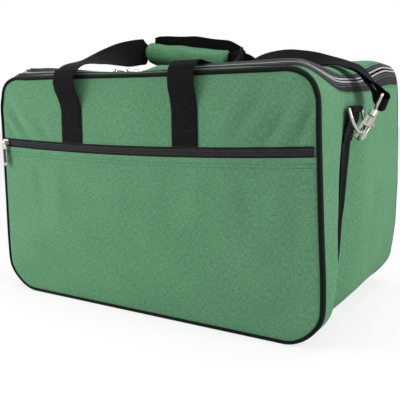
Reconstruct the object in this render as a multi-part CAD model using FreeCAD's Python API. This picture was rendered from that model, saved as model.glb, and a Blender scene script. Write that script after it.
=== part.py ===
import FreeCAD, Part
import math
import os

# A soft carrying bag for boxed board games: padded canvas walls edged with piping, a zipped lid hinged
# along the rear top edge, a zipped front pocket, two webbing handles held together by a padded wrap, and a
# shoulder strap on snap hooks. The origin is the centre of the flat bottom, +X is the right seen from the
# front, -Y is the front and +Z is up. Lengths are in millimetres.

# Overall sizes
bag_width = 530.0
bag_depth = 315.0
bag_height = 332.0
corner_radius = 50.0

# Wall build-up, from outside in, and the gaps of sewn cloth
canvas = 1.5
foam = 4.0
lining = 1.0
layer_gap = 0.1
sew_gap = 0.3
piping_diameter = 6.0
panel_recess = 1.5
cut_overrun = 20.0

# Stiff board that lies on the bottom lining
board_thickness = 3.0
board_clearance = 6.0

# Main zip: its line lies behind the front edge, turns at the corners and runs back under the top
zip_setback = 18.0
zip_drop = 17.5
zip_turn = 97.5
tape_half = 8.0
tape_thickness = 1.0
tape_recess = 0.2
coil_half = 2.6
coil_parting = 0.2
coil_proud = 0.8
coil_depth = 2.2
foam_margin = 3.0
hinge_gap = 0.3

# Front pocket and its zip
pocket_cloth = 1.2
pocket_zip_drop = 95.0
pocket_tape_half = 6.0
pocket_zip_end = 8.0
pocket_coil_half = 2.3
pocket_coil_proud = 0.6

# Webbing of the handles
web = 1.6
handle_web_width = 40.0
handle_centre = -15.0
handle_half_spacing = 98.5
anchor_gap = 0.8
anchor_drop = 35.0
leg_swell_drop = 14.0
leg_rise = 6.0
leg_gap = 0.5
fold_gap = 0.9
grip_fold_width = 20.0
grip_spacing = 4.4

# Padded wrap round the two grips, its closing flap and its slope
wrap_length = 146.0
wrap_diameter = 32.0
wrap_rise = 34.0
wrap_slope_rise = 21.0
wrap_slot_height = 23.0
wrap_slot_width = 9.0
wrap_slit = 3.0
flap_thickness = 2.4
flap_height = 9.0
flap_setback = 15.0
flap_overhang = 18.0

# Route of a handle web from its bend to the wrap, as shares of the way back, up and in, of the quarter
# twist and of the fold to half width
riser_shares = (
    (0.0, 0.0, 0.0, 0.0, 0.0),
    (0.08, 0.22, 0.0, 0.0, 0.0),
    (0.35, 0.45, 0.06, 0.1, 0.0),
    (0.62, 0.68, 0.2, 0.45, 0.2),
    (0.84, 0.88, 0.42, 0.85, 0.6),
    (0.96, 0.98, 0.72, 1.0, 0.9),
    (1.0, 1.0, 1.0, 1.0, 1.0),
)

# Side web with the loop that carries the D-ring
anchor_web_width = 38.0
anchor_y = -60.0
anchor_wrap_angle = 65.0
ring_drop = 51.0
ring_wire = 4.5
ring_half_width = 22.5
ring_corner = 3.0
ring_straight = 5.0
ring_tilt = 16.5
loop_gap = 0.3
loop_tail = 40.0

# Snap hook: its axis at rest, its outline and its sliding bolt
hook_axis_share = (0.26, 0.60, 0.76)
hook_ring_offset = 9.8
hook_half_width = 6.4
hook_throat_half = 3.4
hook_thickness = 4.0
hook_nose_wall = 3.8
hook_throat_end = 20.0
hook_mouth_low = 10.5
hook_block_end = 35.0
hook_taper_start = 20.0
hook_taper_half = 4.7
hook_shoulder = 34.0
hook_window_start = 22.5
hook_window_end = 32.0
hook_window_half = 1.6
hook_window_offset = -1.4
hook_barrel_end = 43.0
hook_barrel_radius = 5.0
bolt_radius = 1.1
bolt_clearance = 0.15
bolt_gap = 0.3
bolt_tail = 25.0
bolt_bore_end = 33.5
bolt_knob_width = 1.8
bolt_knob_length = 2.6
bolt_knob_height = 2.8
bolt_knob_place = 22.6
spring_radius = 0.75
spring_wire = 0.4
spring_turns = 7

# Swivel eye of the snap hook
swivel_head_radius = 3.9
swivel_head_low = 36.8
swivel_head_length = 2.4
swivel_head_clearance = 0.2
swivel_stem_radius = 2.4
swivel_clearance = 0.08
eye_wire = 4.0
eye_near = 45.5
eye_far = 59.4
eye_near_half = 12.0
eye_far_half = 21.0
eye_corner = 3.0
eye_bar_share = (0.396, -0.782, 0.483)

# Shoulder strap
strap_width = 30.0
strap_thickness = 1.8
strap_loop_gap = 0.3
strap_loop_margin = 0.2
strap_end_thickness = 3.4
strap_leave_share = 2.0
strap_arrive_share = (-1.0, 0.0, 0.5)
strap_join_gap = 1.0
strap_join_inset = 13.0
strap_join_y = -17.0
strap_join_rise = 5.5
strap_lift = 1.6
strap_hump = 19.0
strap_hump_shares = (0.67, 0.62)
strap_hump_inset = 100.0
strap_flat_inset = 181.0
strap_left_inset = 51.0
adjuster_width = 40.0
adjuster_length = 28.0
adjuster_thickness = 2.5
adjuster_rail = 4.0
adjuster_place = 24.0

# Zip sliders and pulls
slider_length = 13.0
slider_width = 9.0
slider_thickness = 2.0
slider_gap = 0.3
slider_corner = 2.5
bar_radius = 0.8
bar_height = 4.9
bar_half = 3.6
post_width = 1.6
pull_eye_gap = 0.3
pull_eye_wall = 1.0
pull_eye_length = 4.4
pull_length = 37.0
pull_width = 9.0
pull_thickness = 1.8
pull_neck = 5.0
pull_window_low = 11.0
pull_window_high = 32.0
pull_window_width = 5.6
pull_insert_gap = 0.1
pull_insert_thickness = 2.6
pull_droop = 6.0
main_slider_left_x = -44.0
main_slider_right_x = -21.0
pocket_slider_inset = 11.0

front = -bag_depth / 2
rear = bag_depth / 2
right = bag_width / 2
shell_front = front + piping_diameter + sew_gap
shell_rear = rear - piping_diameter - sew_gap
foam_low = canvas + layer_gap
lining_low = foam_low + foam + layer_gap
wall = lining_low + lining
panel_inset = piping_diameter + sew_gap
stack_inset = wall + sew_gap
zip_line = front + zip_setback
panel_face = front + panel_recess
pocket_zip_height = bag_height - pocket_zip_drop
anchor_low = pocket_zip_height + pocket_tape_half + anchor_gap
anchor_high = bag_height - anchor_drop
leg_swell_height = bag_height - leg_swell_drop
leg_top = bag_height + leg_rise
wrap_height = bag_height + wrap_rise
ring_height = bag_height - ring_drop
strap_join = FreeCAD.Vector(right - strap_join_inset, strap_join_y, bag_height + strap_join_rise)
pocket_slider_x = pocket_slider_inset - right

X_AXIS = FreeCAD.Vector(1, 0, 0)
Y_AXIS = FreeCAD.Vector(0, 1, 0)
Z_AXIS = FreeCAD.Vector(0, 0, 1)
ORIGIN = FreeCAD.Vector(0, 0, 0)


def vec(x, y, z):
    return FreeCAD.Vector(x, y, z)


def unit(vector):
    return vector * (1 / vector.Length)


def export(name, solids):
    """Write one node, print what it holds and stop at a bad solid."""
    for solid in solids:
        if not solid.isValid() or solid.Volume <= 0 or len(solid.Solids) != 1:
            raise ValueError(name + " has a bad solid")
    shape = solids[0] if len(solids) == 1 else Part.makeCompound(solids)
    shape.exportStep("parts/" + name + ".step")
    print(name, len(solids), "solids, volume", round(sum(solid.Volume for solid in solids), 1))


def single(shape):
    """The one solid of a cut, joined or common shape."""
    solids = shape.removeSplitter().Solids
    if len(solids) != 1:
        raise ValueError("a shape fell into " + str(len(solids)) + " solids")
    return solids[0]


def box(x_low, x_high, y_low, y_high, z_low, z_high):
    return Part.makeBox(x_high - x_low, y_high - y_low, z_high - z_low, vec(x_low, y_low, z_low))


def line(start, end):
    return Part.LineSegment(start, end).toShape()


def arc(start, middle, end):
    return Part.Arc(start, middle, end).toShape()


def turned(shape):
    """The same piece on the other side of the bag, turned half round the upright axis."""
    copy = shape.copy()
    copy.rotate(ORIGIN, Z_AXIS, 180)
    return copy


def mirrored(shape):
    """The same piece at the rear of the bag."""
    return shape.mirror(ORIGIN, Y_AXIS)


def outline_wire(inset, y):
    """Rounded rectangle of the bag seen from the front, drawn in by inset, at the depth y."""
    half = right - inset
    low = inset
    high = bag_height - inset
    radius = corner_radius - inset
    slant = radius * math.sqrt(0.5)
    edges = []
    for side, turn in ((1, -1), (1, 1), (-1, 1), (-1, -1)):
        level = high - radius if turn > 0 else low + radius
        centre = vec(side * (half - radius), y, level)
        flank = centre + vec(side * radius, 0, 0)
        crown = centre + vec(0, 0, turn * radius)
        middle = centre + vec(side * slant, 0, turn * slant)
        start, end = (crown, flank) if side * turn < 0 else (flank, crown)
        edges.append(arc(start, middle, end))
    wire = []
    for number, edge in enumerate(edges):
        wire.append(edge)
        following = edges[(number + 1) % len(edges)]
        wire.append(line(edge.valueAt(edge.LastParameter), following.valueAt(following.FirstParameter)))
    return Part.Wire(wire)


def slab(inset, y_low, y_high):
    return Part.Face(outline_wire(inset, y_low)).extrude(vec(0, y_high - y_low, 0))


def ring(outer, inner):
    """Wall that runs round the bag between the front and rear edges, from one inset to a deeper one."""
    hollow = slab(inner, shell_front - cut_overrun, shell_rear + cut_overrun)
    return slab(outer, shell_front, shell_rear).cut(hollow)


def above_zip(offset):
    """Space above the zip line moved towards the lid by offset: an arc from the top down to a level line."""
    y_front = zip_line + offset
    y_turn = front + zip_turn
    z_side = bag_height - zip_drop + offset
    run = y_turn - y_front
    drop = bag_height - z_side
    radius = (run ** 2 + drop ** 2) / (2 * drop)
    half_angle = math.asin(run / radius) / 2
    middle = vec(0, y_turn - radius * math.sin(half_angle), z_side + radius * (1 - math.cos(half_angle)))
    top = bag_height + cut_overrun
    back = rear + cut_overrun
    bend = vec(0, y_front, bag_height)
    turn = vec(0, y_turn, z_side)
    edges = [
        arc(bend, middle, turn),
        line(turn, vec(0, back, z_side)),
        line(vec(0, back, z_side), vec(0, back, top)),
        line(vec(0, back, top), vec(0, y_front, top)),
        line(vec(0, y_front, top), bend),
    ]
    prism = Part.Face(Part.Wire(edges)).extrude(vec(bag_width + cut_overrun, 0, 0))
    prism.translate(vec(-(bag_width + cut_overrun) / 2, 0, 0))
    return prism


def tube_ring(wire, radius, start, direction):
    """Round wire bent along a closed path of lines and tangent arcs."""
    circle = Part.Wire(Part.Circle(start, direction, radius).toShape())
    return Part.Solid(wire.makePipeShell([circle], True, False))


def ribbon(sections):
    """Web through flat rectangles, each a centre, its width and thickness directions, and two sizes."""
    wires = []
    for centre, across, normal, width, thickness in sections:
        a = unit(across) * (width / 2)
        n = unit(normal) * (thickness / 2)
        corners = [centre + a + n, centre - a + n, centre - a - n, centre + a - n]
        wires.append(Part.makePolygon(corners + corners[:1]))
    solid = Part.makeLoft(wires, True, True).Solids[0]
    if solid.Volume < 0:
        solid.reverse()
    return solid


def make_shell():
    """Panels, gusset, board and piping."""
    inner_top = bag_height - zip_drop - tape_half - foam_margin
    inner_cut = box(-bag_width, bag_width, front, rear, inner_top, bag_height + cut_overrun)
    export("gusset", [single(ring(0, canvas).cut(above_zip(-tape_half - sew_gap)))])
    export("gusset_foam", [single(ring(foam_low, foam_low + foam).cut(inner_cut))])
    export("gusset_lining", [single(ring(lining_low, wall).cut(inner_cut))])

    panel = slab(panel_inset, panel_face, panel_face + canvas)
    panel_foam = slab(stack_inset, panel_face + canvas, panel_face + canvas + foam)
    panel_lining = slab(stack_inset, panel_face + canvas + foam, panel_face + canvas + foam + lining)
    for place, placed in (("front", lambda shape: shape), ("rear", mirrored)):
        export(place + "_panel", [single(placed(panel))])
        export(place + "_foam", [single(placed(panel_foam))])
        export(place + "_lining", [single(placed(panel_lining))])
        radius = piping_diameter / 2
        cord = piping(outline_wire(radius, front + radius), radius)
        export(place + "_piping", [single(placed(cord))])

    half = right - corner_radius
    depth = rear - panel_recess - canvas - foam - lining - board_clearance
    low = wall + layer_gap
    export("base_board", [box(-half, half, -depth, depth, low, low + board_thickness)])


def piping(wire, radius):
    """Cord in its cloth sleeve, round the edge of a panel."""
    first = wire.Edges[0]
    start = first.valueAt(first.FirstParameter)
    return tube_ring(wire, radius, start, first.tangentAt(first.FirstParameter))


def make_pocket():
    """Flat pocket on the front, with its zip across the full width."""
    middle = pocket_zip_height
    top = middle - pocket_tape_half - sew_gap
    cloth = slab(panel_inset, front, front + pocket_cloth)
    below = box(-bag_width, bag_width, front - cut_overrun, front + cut_overrun, -cut_overrun, top)
    export("pocket_panel", [single(cloth.common(below))])

    half = right - pocket_zip_end
    tape_back = panel_face - tape_recess
    tapes = []
    coils = []
    for side in (1, -1):
        edges = sorted((middle + side * pocket_coil_half, middle + side * pocket_tape_half))
        tapes.append(box(-half, half, tape_back - tape_thickness, tape_back, *edges))
        rows = sorted((middle + side * coil_parting, middle + side * (pocket_coil_half - layer_gap)))
        coils.append(box(-half, half, front - pocket_coil_proud, tape_back, *rows))
    export("pocket_zip_tapes", tapes)
    export("pocket_zip_coils", coils)


def make_lid():
    """Lid with its half of the main zip, and the bag's half."""
    lid_back = shell_rear - hinge_gap
    lid_end = box(-bag_width, bag_width, lid_back, rear + cut_overrun, 0, bag_height + cut_overrun)
    panel_space = above_zip(tape_half + sew_gap).cut(lid_end)
    export("lid_panel", [single(ring(0, canvas).common(panel_space))])
    half = right - corner_radius
    y_low = zip_line + tape_half + foam_margin
    for name, depth, thickness in (("lid_foam", foam_low, foam), ("lid_lining", lining_low, lining)):
        top = bag_height - depth
        export(name, [box(-half, half, y_low, lid_back, top - thickness, top)])

    tape = ring(tape_recess, tape_recess + tape_thickness)
    coil = ring(-coil_proud, coil_depth - coil_proud)
    export("main_zip_tape_lower", [single(tape.common(above_zip(-tape_half)).cut(above_zip(-coil_half)))])
    export("main_zip_coil_lower", [
        single(coil.common(above_zip(layer_gap - coil_half)).cut(above_zip(-coil_parting)))])
    upper_tape = tape.common(above_zip(coil_half)).cut(above_zip(tape_half)).cut(lid_end)
    upper_coil = coil.common(above_zip(coil_parting)).cut(above_zip(coil_half - layer_gap)).cut(lid_end)
    export("main_zip_tape_upper", [single(upper_tape)])
    export("main_zip_coil_upper", [single(upper_coil)])


def grip_route():
    """Centres, twists and folds of the front grip, from the left bend through the wrap to the right one."""
    bend_y = front - sew_gap - web / 2
    inner_y = -grip_spacing / 2
    left = []
    right_side = []
    for side, stations in ((-1, left), (1, right_side)):
        end_z = wrap_height - side * wrap_slope_rise / 2
        end_x = wrap_length / 2
        for back, up, inward, twist, fold in riser_shares:
            x = handle_centre + side * (handle_half_spacing + inward * (end_x - handle_half_spacing))
            y = bend_y + back * (inner_y - bend_y)
            z = leg_top + fold_gap + up * (end_z - leg_top - fold_gap)
            stations.append((vec(x, y, z), twist, fold))
    return left + right_side[::-1]


def make_handles():
    """Two handles: stitched anchors, free legs and the grips that pass through the wrap."""
    anchors = []
    legs = []
    for side in (-1, 1):
        x = handle_centre + side * handle_half_spacing
        half = handle_web_width / 2
        anchors.append(box(x - half, x + half, panel_face - web, panel_face, anchor_low, anchor_high))
        lower = panel_face - web / 2
        outer = front - sew_gap - web / 2
        stations = ((lower, anchor_high + leg_gap), (outer, leg_swell_height), (outer, leg_top))
        legs.append(ribbon([(vec(x, y, z), X_AXIS, Y_AXIS, handle_web_width, web) for y, z in stations]))

    route = grip_route()
    sections = []
    for number, (centre, twist, fold) in enumerate(route):
        before = route[max(number - 1, 0)][0]
        after = route[min(number + 1, len(route) - 1)][0]
        along = unit(after - before)
        level = unit(Z_AXIS.cross(along))
        upright = along.cross(level)
        angle = twist * math.pi / 2
        across = level * math.cos(angle) + upright * math.sin(angle)
        width = handle_web_width + fold * (grip_fold_width - handle_web_width)
        sections.append((centre, across, along.cross(across), width, web * (1 + fold)))
    grip = ribbon(sections)

    export("front_handle_anchors", anchors)
    export("front_handle_legs", legs)
    export("front_handle_grip", [grip])
    export("rear_handle_anchors", [single(mirrored(shape)) for shape in anchors])
    export("rear_handle_legs", [single(mirrored(shape)) for shape in legs])
    export("rear_handle_grip", [single(mirrored(grip))])


def make_wrap():
    """Padded sleeve round both grips, and the flap that closes it along the top."""
    radius = wrap_diameter / 2
    half = wrap_length / 2
    sleeve = Part.makeCylinder(radius, wrap_length, vec(-half, 0, 0), X_AXIS)
    reach = half + cut_overrun
    side = wrap_slot_width / 2
    slot = box(-reach, reach, -side, side, -wrap_slot_height / 2, wrap_slot_height / 2)
    slit = box(-reach, reach, -wrap_slit / 2, wrap_slit / 2, 0, radius + cut_overrun)
    sleeve = single(sleeve.cut(slot).cut(slit))
    low = radius + sew_gap
    thin = flap_thickness / 2
    flap = box(flap_setback - half, half + flap_overhang, -thin, thin, low, low + flap_height)
    slope = math.degrees(math.atan2(wrap_slope_rise, wrap_length))
    for name, solid in (("handle_wrap", sleeve), ("wrap_flap", flap)):
        solid.rotate(ORIGIN, Y_AXIS, slope)
        solid.translate(vec(handle_centre, 0, wrap_height))
        export(name, [solid])


def ring_centre():
    """Middle of the D-ring's bar, in the loop of the right side web."""
    return vec(right + sew_gap + web + loop_gap + ring_wire / 2, anchor_y, ring_height)


def make_side_web():
    """Web sewn down the side from under the bottom corner, with a loop for the D-ring at its top."""
    centre = ring_centre()
    low = anchor_y - anchor_web_width / 2
    high = anchor_y + anchor_web_width / 2
    inner = right + sew_gap
    strip = box(inner, inner + web, low, high, corner_radius, ring_height)
    tail_top = ring_height - ring_wire / 2 - loop_gap - web / 2
    tail = box(inner + web, inner + 2 * web, low, high, ring_height - loop_tail, tail_top)
    loop_radius = ring_wire / 2 + loop_gap
    bar_start = vec(centre.x, low, centre.z)
    hole = Part.makeCylinder(loop_radius, anchor_web_width, bar_start, Y_AXIS)
    loop = Part.makeCylinder(loop_radius + web, anchor_web_width, bar_start, Y_AXIS)
    web_solid = single(strip.fuse(loop).fuse(tail).cut(hole).fuse(corner_strip(low)))
    export("anchor_web_right", [web_solid])
    export("anchor_web_left", [turned(web_solid)])


def corner_strip(y):
    """End of the side web, bent round the bottom corner of the bag."""
    inner = corner_radius + sew_gap
    outer = inner + web

    def at(radius, degrees):
        angle = math.radians(degrees)
        x = right - corner_radius + radius * math.cos(angle)
        return vec(x, y, corner_radius - radius * math.sin(angle))

    middle = anchor_wrap_angle / 2
    edges = [
        arc(at(outer, 0), at(outer, middle), at(outer, anchor_wrap_angle)),
        line(at(outer, anchor_wrap_angle), at(inner, anchor_wrap_angle)),
        arc(at(inner, anchor_wrap_angle), at(inner, middle), at(inner, 0)),
        line(at(inner, 0), at(outer, 0)),
    ]
    return Part.Face(Part.Wire(edges)).extrude(vec(0, anchor_web_width, 0))


def ring_fall():
    """Direction from the right D-ring's bar down to its round end."""
    tilt = math.radians(ring_tilt)
    return vec(math.sin(tilt), 0, -math.cos(tilt))


def ring_bottom():
    """Middle of the D-ring's wire at its lowest point."""
    return ring_centre() + ring_fall() * (ring_corner + ring_straight + ring_half_width)


def make_rings():
    """D-rings: a straight bar, two rounded corners and a half round."""
    centre = ring_centre()
    down = ring_fall()
    slant = math.sqrt(0.5)

    def at(y, depth):
        return centre + Y_AXIS * y + down * depth

    bar = ring_half_width - ring_corner
    side = ring_corner + ring_straight
    cut = ring_corner * (1 - slant)
    edges = [
        line(at(-bar, 0), at(bar, 0)),
        arc(at(bar, 0), at(ring_half_width - cut, cut), at(ring_half_width, ring_corner)),
        line(at(ring_half_width, ring_corner), at(ring_half_width, side)),
        arc(at(ring_half_width, side), at(0, side + ring_half_width), at(-ring_half_width, side)),
        line(at(-ring_half_width, side), at(-ring_half_width, ring_corner)),
        arc(at(-ring_half_width, ring_corner), at(cut - ring_half_width, cut), at(-bar, 0)),
    ]
    solid = tube_ring(Part.Wire(edges), ring_wire / 2, at(-bar, 0), Y_AXIS)
    export("d_ring_right", [solid])
    export("d_ring_left", [turned(solid)])


def hook_frame():
    """Nose point of the right snap hook, and its directions: along, across and out of its flat."""
    along = unit(vec(*hook_axis_share))
    across = unit(Y_AXIS.cross(along))
    out = along.cross(across)
    nose = ring_bottom() - along * hook_ring_offset
    return nose, along, across, out


def in_hook(shape):
    """Carry a shape drawn with X along the hook and Y across it to the hook's place."""
    nose, along, across, out = hook_frame()
    rotation = FreeCAD.Rotation(along, across, out, "XYZ")
    shape.Placement = FreeCAD.Placement(nose, rotation).multiply(shape.Placement)
    return shape


def make_hooks():
    """Snap hooks with a sliding bolt, its spring, and the swivel eye for the strap."""
    half = hook_thickness / 2
    width = hook_half_width
    throat = hook_throat_half
    body = Part.makeCylinder(width, hook_thickness, vec(width, 0, -half))
    corners = [vec(x, y, -half) for x, y in (
        (width, -width), (hook_taper_start, -width), (hook_block_end, -hook_taper_half),
        (hook_block_end, hook_taper_half), (hook_shoulder, width), (width, width))]
    plate = Part.Face(Part.makePolygon(corners + corners[:1]))
    body = body.fuse(plate.extrude(vec(0, 0, hook_thickness)))
    nose_round = hook_nose_wall + throat
    body = body.cut(Part.makeCylinder(throat, hook_thickness, vec(nose_round, 0, -half)))
    body = body.cut(box(nose_round, hook_throat_end, -throat, throat, -half, half))
    body = body.cut(box(hook_mouth_low, hook_throat_end, throat, width, -half, half))
    barrel_length = hook_barrel_end - hook_block_end
    body = body.fuse(Part.makeCylinder(hook_barrel_radius, barrel_length, vec(hook_block_end, 0, 0), X_AXIS))
    arm = (throat + width) / 2
    bore = bolt_radius + bolt_clearance
    bore_start = vec(hook_throat_end, arm, 0)
    body = body.cut(Part.makeCylinder(bore, bolt_bore_end - hook_throat_end, bore_start, X_AXIS))
    slot = bolt_knob_width / 2 + bolt_clearance
    body = body.cut(box(hook_throat_end, bolt_bore_end, arm, width, -slot, slot))
    reach = hook_window_half
    side = hook_window_offset
    window = box(hook_window_start + reach, hook_window_end - reach, side - reach, side + reach, -half, half)
    for x in (hook_window_start + reach, hook_window_end - reach):
        window = window.fuse(Part.makeCylinder(reach, hook_thickness, vec(x, side, -half)))
    body = body.cut(window)
    head_room = swivel_head_clearance
    head_bore = swivel_head_radius + swivel_head_clearance
    head_space = swivel_head_length + 2 * head_room
    head_start = vec(swivel_head_low - head_room, 0, 0)
    body = body.cut(Part.makeCylinder(head_bore, head_space, head_start, X_AXIS))
    stem_bore = swivel_stem_radius + swivel_clearance
    stem_start = vec(swivel_head_low, 0, 0)
    stem_space = hook_barrel_end - swivel_head_low + cut_overrun
    body = body.cut(Part.makeCylinder(stem_bore, stem_space, stem_start, X_AXIS))
    export_pair("snap_hook", single(body))

    bolt_low = hook_mouth_low + bolt_gap
    bolt = Part.makeCylinder(bolt_radius, bolt_tail - bolt_low, vec(bolt_low, arm, 0), X_AXIS)
    knob_half = bolt_knob_width / 2
    knob_end = bolt_knob_place + bolt_knob_length
    knob_top = width + bolt_knob_height
    knob = box(bolt_knob_place, knob_end, arm, knob_top, -knob_half, knob_half)
    export_pair("hook_bolt", single(bolt.fuse(knob)))
    export_pair("bolt_spring", make_spring(arm))

    head = Part.makeCylinder(swivel_head_radius, swivel_head_length, stem_start, X_AXIS)
    stem = Part.makeCylinder(swivel_stem_radius, eye_near - swivel_head_low, stem_start, X_AXIS)
    loop = make_eye_loop()
    export_pair("hook_eye", single(head.fuse(stem).fuse(loop)))


def export_pair(name, solid):
    """Write the right piece of a pair drawn in the hook's own directions, and the left one."""
    placed = in_hook(solid)
    export(name + "_right", [placed])
    export(name + "_left", [turned(placed)])


def biarc(start, heading, end, end_heading):
    """Two arcs that meet smoothly, from start along heading to end along end_heading."""
    chord = end - start
    both = heading + end_heading
    spread = 2 * (1 - heading.dot(end_heading))
    reach = (math.sqrt(chord.dot(both) ** 2 + spread * chord.dot(chord)) - chord.dot(both)) / spread
    corners = (start + heading * reach, end - end_heading * reach)
    meeting = (corners[0] + corners[1]) * (1 / 2)
    arcs = []
    for first, corner, last in ((start, corners[0], meeting), (meeting, corners[1], end)):
        middle = (first + last) * (1 / 2)
        half_chord = (last - first).Length / 2
        angle = math.acos(half_chord / (corner - first).Length)
        arcs.append(arc(first, middle + unit(corner - middle) * (half_chord * math.tan(angle / 2)), last))
    return arcs


def make_spring(arm):
    """Return spring of the bolt, wound from quarter turns in the bore behind it."""
    low = bolt_tail + bolt_gap + spring_wire
    length = bolt_bore_end - bolt_gap - spring_wire - low
    quarters = 4 * spring_turns
    rise = length / quarters

    def at(step):
        angle = math.pi * step / 2
        return vec(low + rise * step, arm + spring_radius * math.cos(angle), spring_radius * math.sin(angle))

    def heading(step):
        angle = math.pi * step / 2
        speed = spring_radius * math.pi / 2
        return unit(vec(rise, -speed * math.sin(angle), speed * math.cos(angle)))

    edges = []
    for step in range(quarters):
        edges += biarc(at(step), heading(step), at(step + 1), heading(step + 1))
    circle = Part.Wire(Part.Circle(at(0), heading(0), spring_wire / 2).toShape())
    return Part.Solid(Part.Wire(edges).makePipeShell([circle], True, False))


def bar_direction():
    """Direction of the eye's far bar, square to the hook."""
    nose, along, across, out = hook_frame()
    bar = vec(*eye_bar_share)
    return unit(bar - along * bar.dot(along))


def make_eye_loop():
    """Wire loop of the swivel eye: a bar at the stem, two spread sides and a longer bar for the strap."""
    nose, along, across, out = hook_frame()
    bar = bar_direction()
    y_share = bar.dot(across)
    z_share = bar.dot(out)

    def at(x, side):
        return vec(x, side * y_share, side * z_share)

    near = [at(eye_near, -eye_near_half), at(eye_near, eye_near_half)]
    spots = near + [at(eye_far, eye_far_half), at(eye_far, -eye_far_half)]
    edges = rounded_path(spots, eye_corner)
    first = edges[0]
    start = first.valueAt(first.FirstParameter)
    return tube_ring(Part.Wire(edges), eye_wire / 2, start, first.tangentAt(first.FirstParameter))


def rounded_path(spots, radius):
    """Closed path of straight runs through the spots, with a tangent arc of one radius at each."""
    arcs = []
    for number, spot in enumerate(spots):
        back = unit(spots[number - 1] - spot)
        ahead = unit(spots[(number + 1) % len(spots)] - spot)
        half_angle = back.getAngle(ahead) / 2
        reach = radius / math.tan(half_angle)
        inward = unit(back + ahead)
        middle = spot + inward * (radius / math.sin(half_angle) - radius)
        arcs.append((spot + back * reach, middle, spot + ahead * reach))
    edges = []
    for number, (start, middle, end) in enumerate(arcs):
        following = arcs[(number + 1) % len(arcs)][0]
        edges.append(line(end, following))
        next_arc = arcs[(number + 1) % len(arcs)]
        edges.append(arc(*next_arc))
    return edges


def make_strap_ends():
    """Doubled end of the shoulder strap, looped round the eye's far bar and led up to the lid's edge."""
    nose, along, across, out = hook_frame()
    bar = bar_direction()
    eye = nose + along * eye_far
    hole_radius = eye_wire / 2 + strap_loop_gap
    loop_width = strap_width + 2 * strap_loop_margin
    start = eye - bar * (loop_width / 2)
    loop = Part.makeCylinder(hole_radius + strap_thickness, loop_width, start, bar)
    loop = loop.cut(Part.makeCylinder(hole_radius, loop_width, start, bar))
    join = strap_join
    inward = unit(bar.cross(along))
    leave = unit(along + inward * strap_leave_share)
    first = eye + leave * (hole_radius + strap_thickness / 2)
    arrive = unit(vec(*strap_arrive_share))
    sections = []
    count = 6
    span = (join - first).Length
    for step in range(count + 1):
        t = step / count
        centre = hermite(first, leave * span, join, arrive * span, t)
        direction = unit(hermite_slope(first, leave * span, join, arrive * span, t))
        wide = bar * -1 * (1 - t) + Y_AXIS * t
        wide = unit(wide - direction * wide.dot(direction))
        sections.append((centre, wide, direction.cross(wide), strap_width, strap_end_thickness))
    solid = single(loop.fuse(ribbon(sections)))
    export("strap_end_right", [solid])
    export("strap_end_left", [turned(solid)])


def hermite(p0, m0, p1, m1, t):
    """Point of the smooth curve that leaves p0 along m0 and arrives at p1 along m1."""
    return (p0 * (2 * t ** 3 - 3 * t ** 2 + 1) + m0 * (t ** 3 - 2 * t ** 2 + t)
            + p1 * (3 * t ** 2 - 2 * t ** 3) + m1 * (t ** 3 - t ** 2))


def hermite_slope(p0, m0, p1, m1, t):
    """Slope of the same curve."""
    return (p0 * (6 * t ** 2 - 6 * t) + m0 * (3 * t ** 2 - 4 * t + 1)
            + p1 * (6 * t - 6 * t ** 2) + m1 * (3 * t ** 2 - 2 * t))


def make_strap():
    """Shoulder strap where it lies on the lid: a hump on the right, then flat to the left edge."""
    low = bag_height + strap_lift
    start = strap_join - vec(strap_join_gap, 0, 0)
    end = vec(-start.x, -start.y, start.z)
    hump_place = right - strap_hump_inset
    flat_start = right - strap_flat_inset
    peak = low + strap_hump
    rise_share, fall_share = strap_hump_shares
    stations = [
        (start.x, start.z),
        ((start.x + hump_place) / 2, start.z + (peak - start.z) * rise_share),
        (hump_place, peak),
        ((hump_place + flat_start) / 2, low + strap_hump * fall_share),
        (flat_start, low),
        (0, low),
        (strap_left_inset - right, low),
        (end.x, end.z),
    ]
    slope = (start.y - end.y) / (start.x - end.x)
    centres = [vec(x, start.y + slope * (x - start.x), z) for x, z in stations]
    sections = []
    for number, centre in enumerate(centres):
        before = centres[max(number - 1, 0)]
        after = centres[min(number + 1, len(centres) - 1)]
        along = unit(after - before)
        sections.append((centre, Y_AXIS, along.cross(Y_AXIS), strap_width, strap_thickness))
    export("shoulder_strap", [ribbon(sections)])

    y_mid = start.y + slope * (adjuster_place - start.x)
    z_low = low + strap_thickness / 2 + sew_gap
    half_length = adjuster_length / 2
    half_width = adjuster_width / 2
    z_high = z_low + adjuster_thickness
    x_mid = adjuster_place
    x_low, x_high = x_mid - half_length, x_mid + half_length
    frame = box(x_low, x_high, y_mid - half_width, y_mid + half_width, z_low, z_high)
    inner = half_width - adjuster_rail
    for side in (-1, 1):
        near = x_mid + side * adjuster_rail / 2
        far = x_mid + side * (half_length - adjuster_rail)
        frame = frame.cut(box(min(near, far), max(near, far), y_mid - inner, y_mid + inner, z_low, z_high))
    export("strap_adjuster", [single(frame)])


def make_slider(bar_along_travel):
    """Zip slider with X along its travel and Z out of the cloth: a rounded plate and a bar on two posts."""
    half_length = slider_length / 2
    half_width = slider_width / 2
    top = slider_gap + slider_thickness
    plate = box(-half_length, half_length, -half_width, half_width, slider_gap, top)
    upright = [edge for edge in plate.Edges if abs(edge.tangentAt(edge.FirstParameter).z) > 0.5]
    plate = plate.makeFillet(slider_corner, upright)
    post = post_width / 2
    level = slider_gap + bar_height
    bracket = Part.makeCylinder(bar_radius, 2 * bar_half, vec(-bar_half, 0, level), X_AXIS)
    for side in (-1, 1):
        x = side * bar_half
        bracket = bracket.fuse(box(x - post, x + post, -post, post, slider_gap, level + bar_radius))
    if not bar_along_travel:
        bracket.rotate(ORIGIN, Z_AXIS, 90)
    return single(plate.fuse(bracket))


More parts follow.
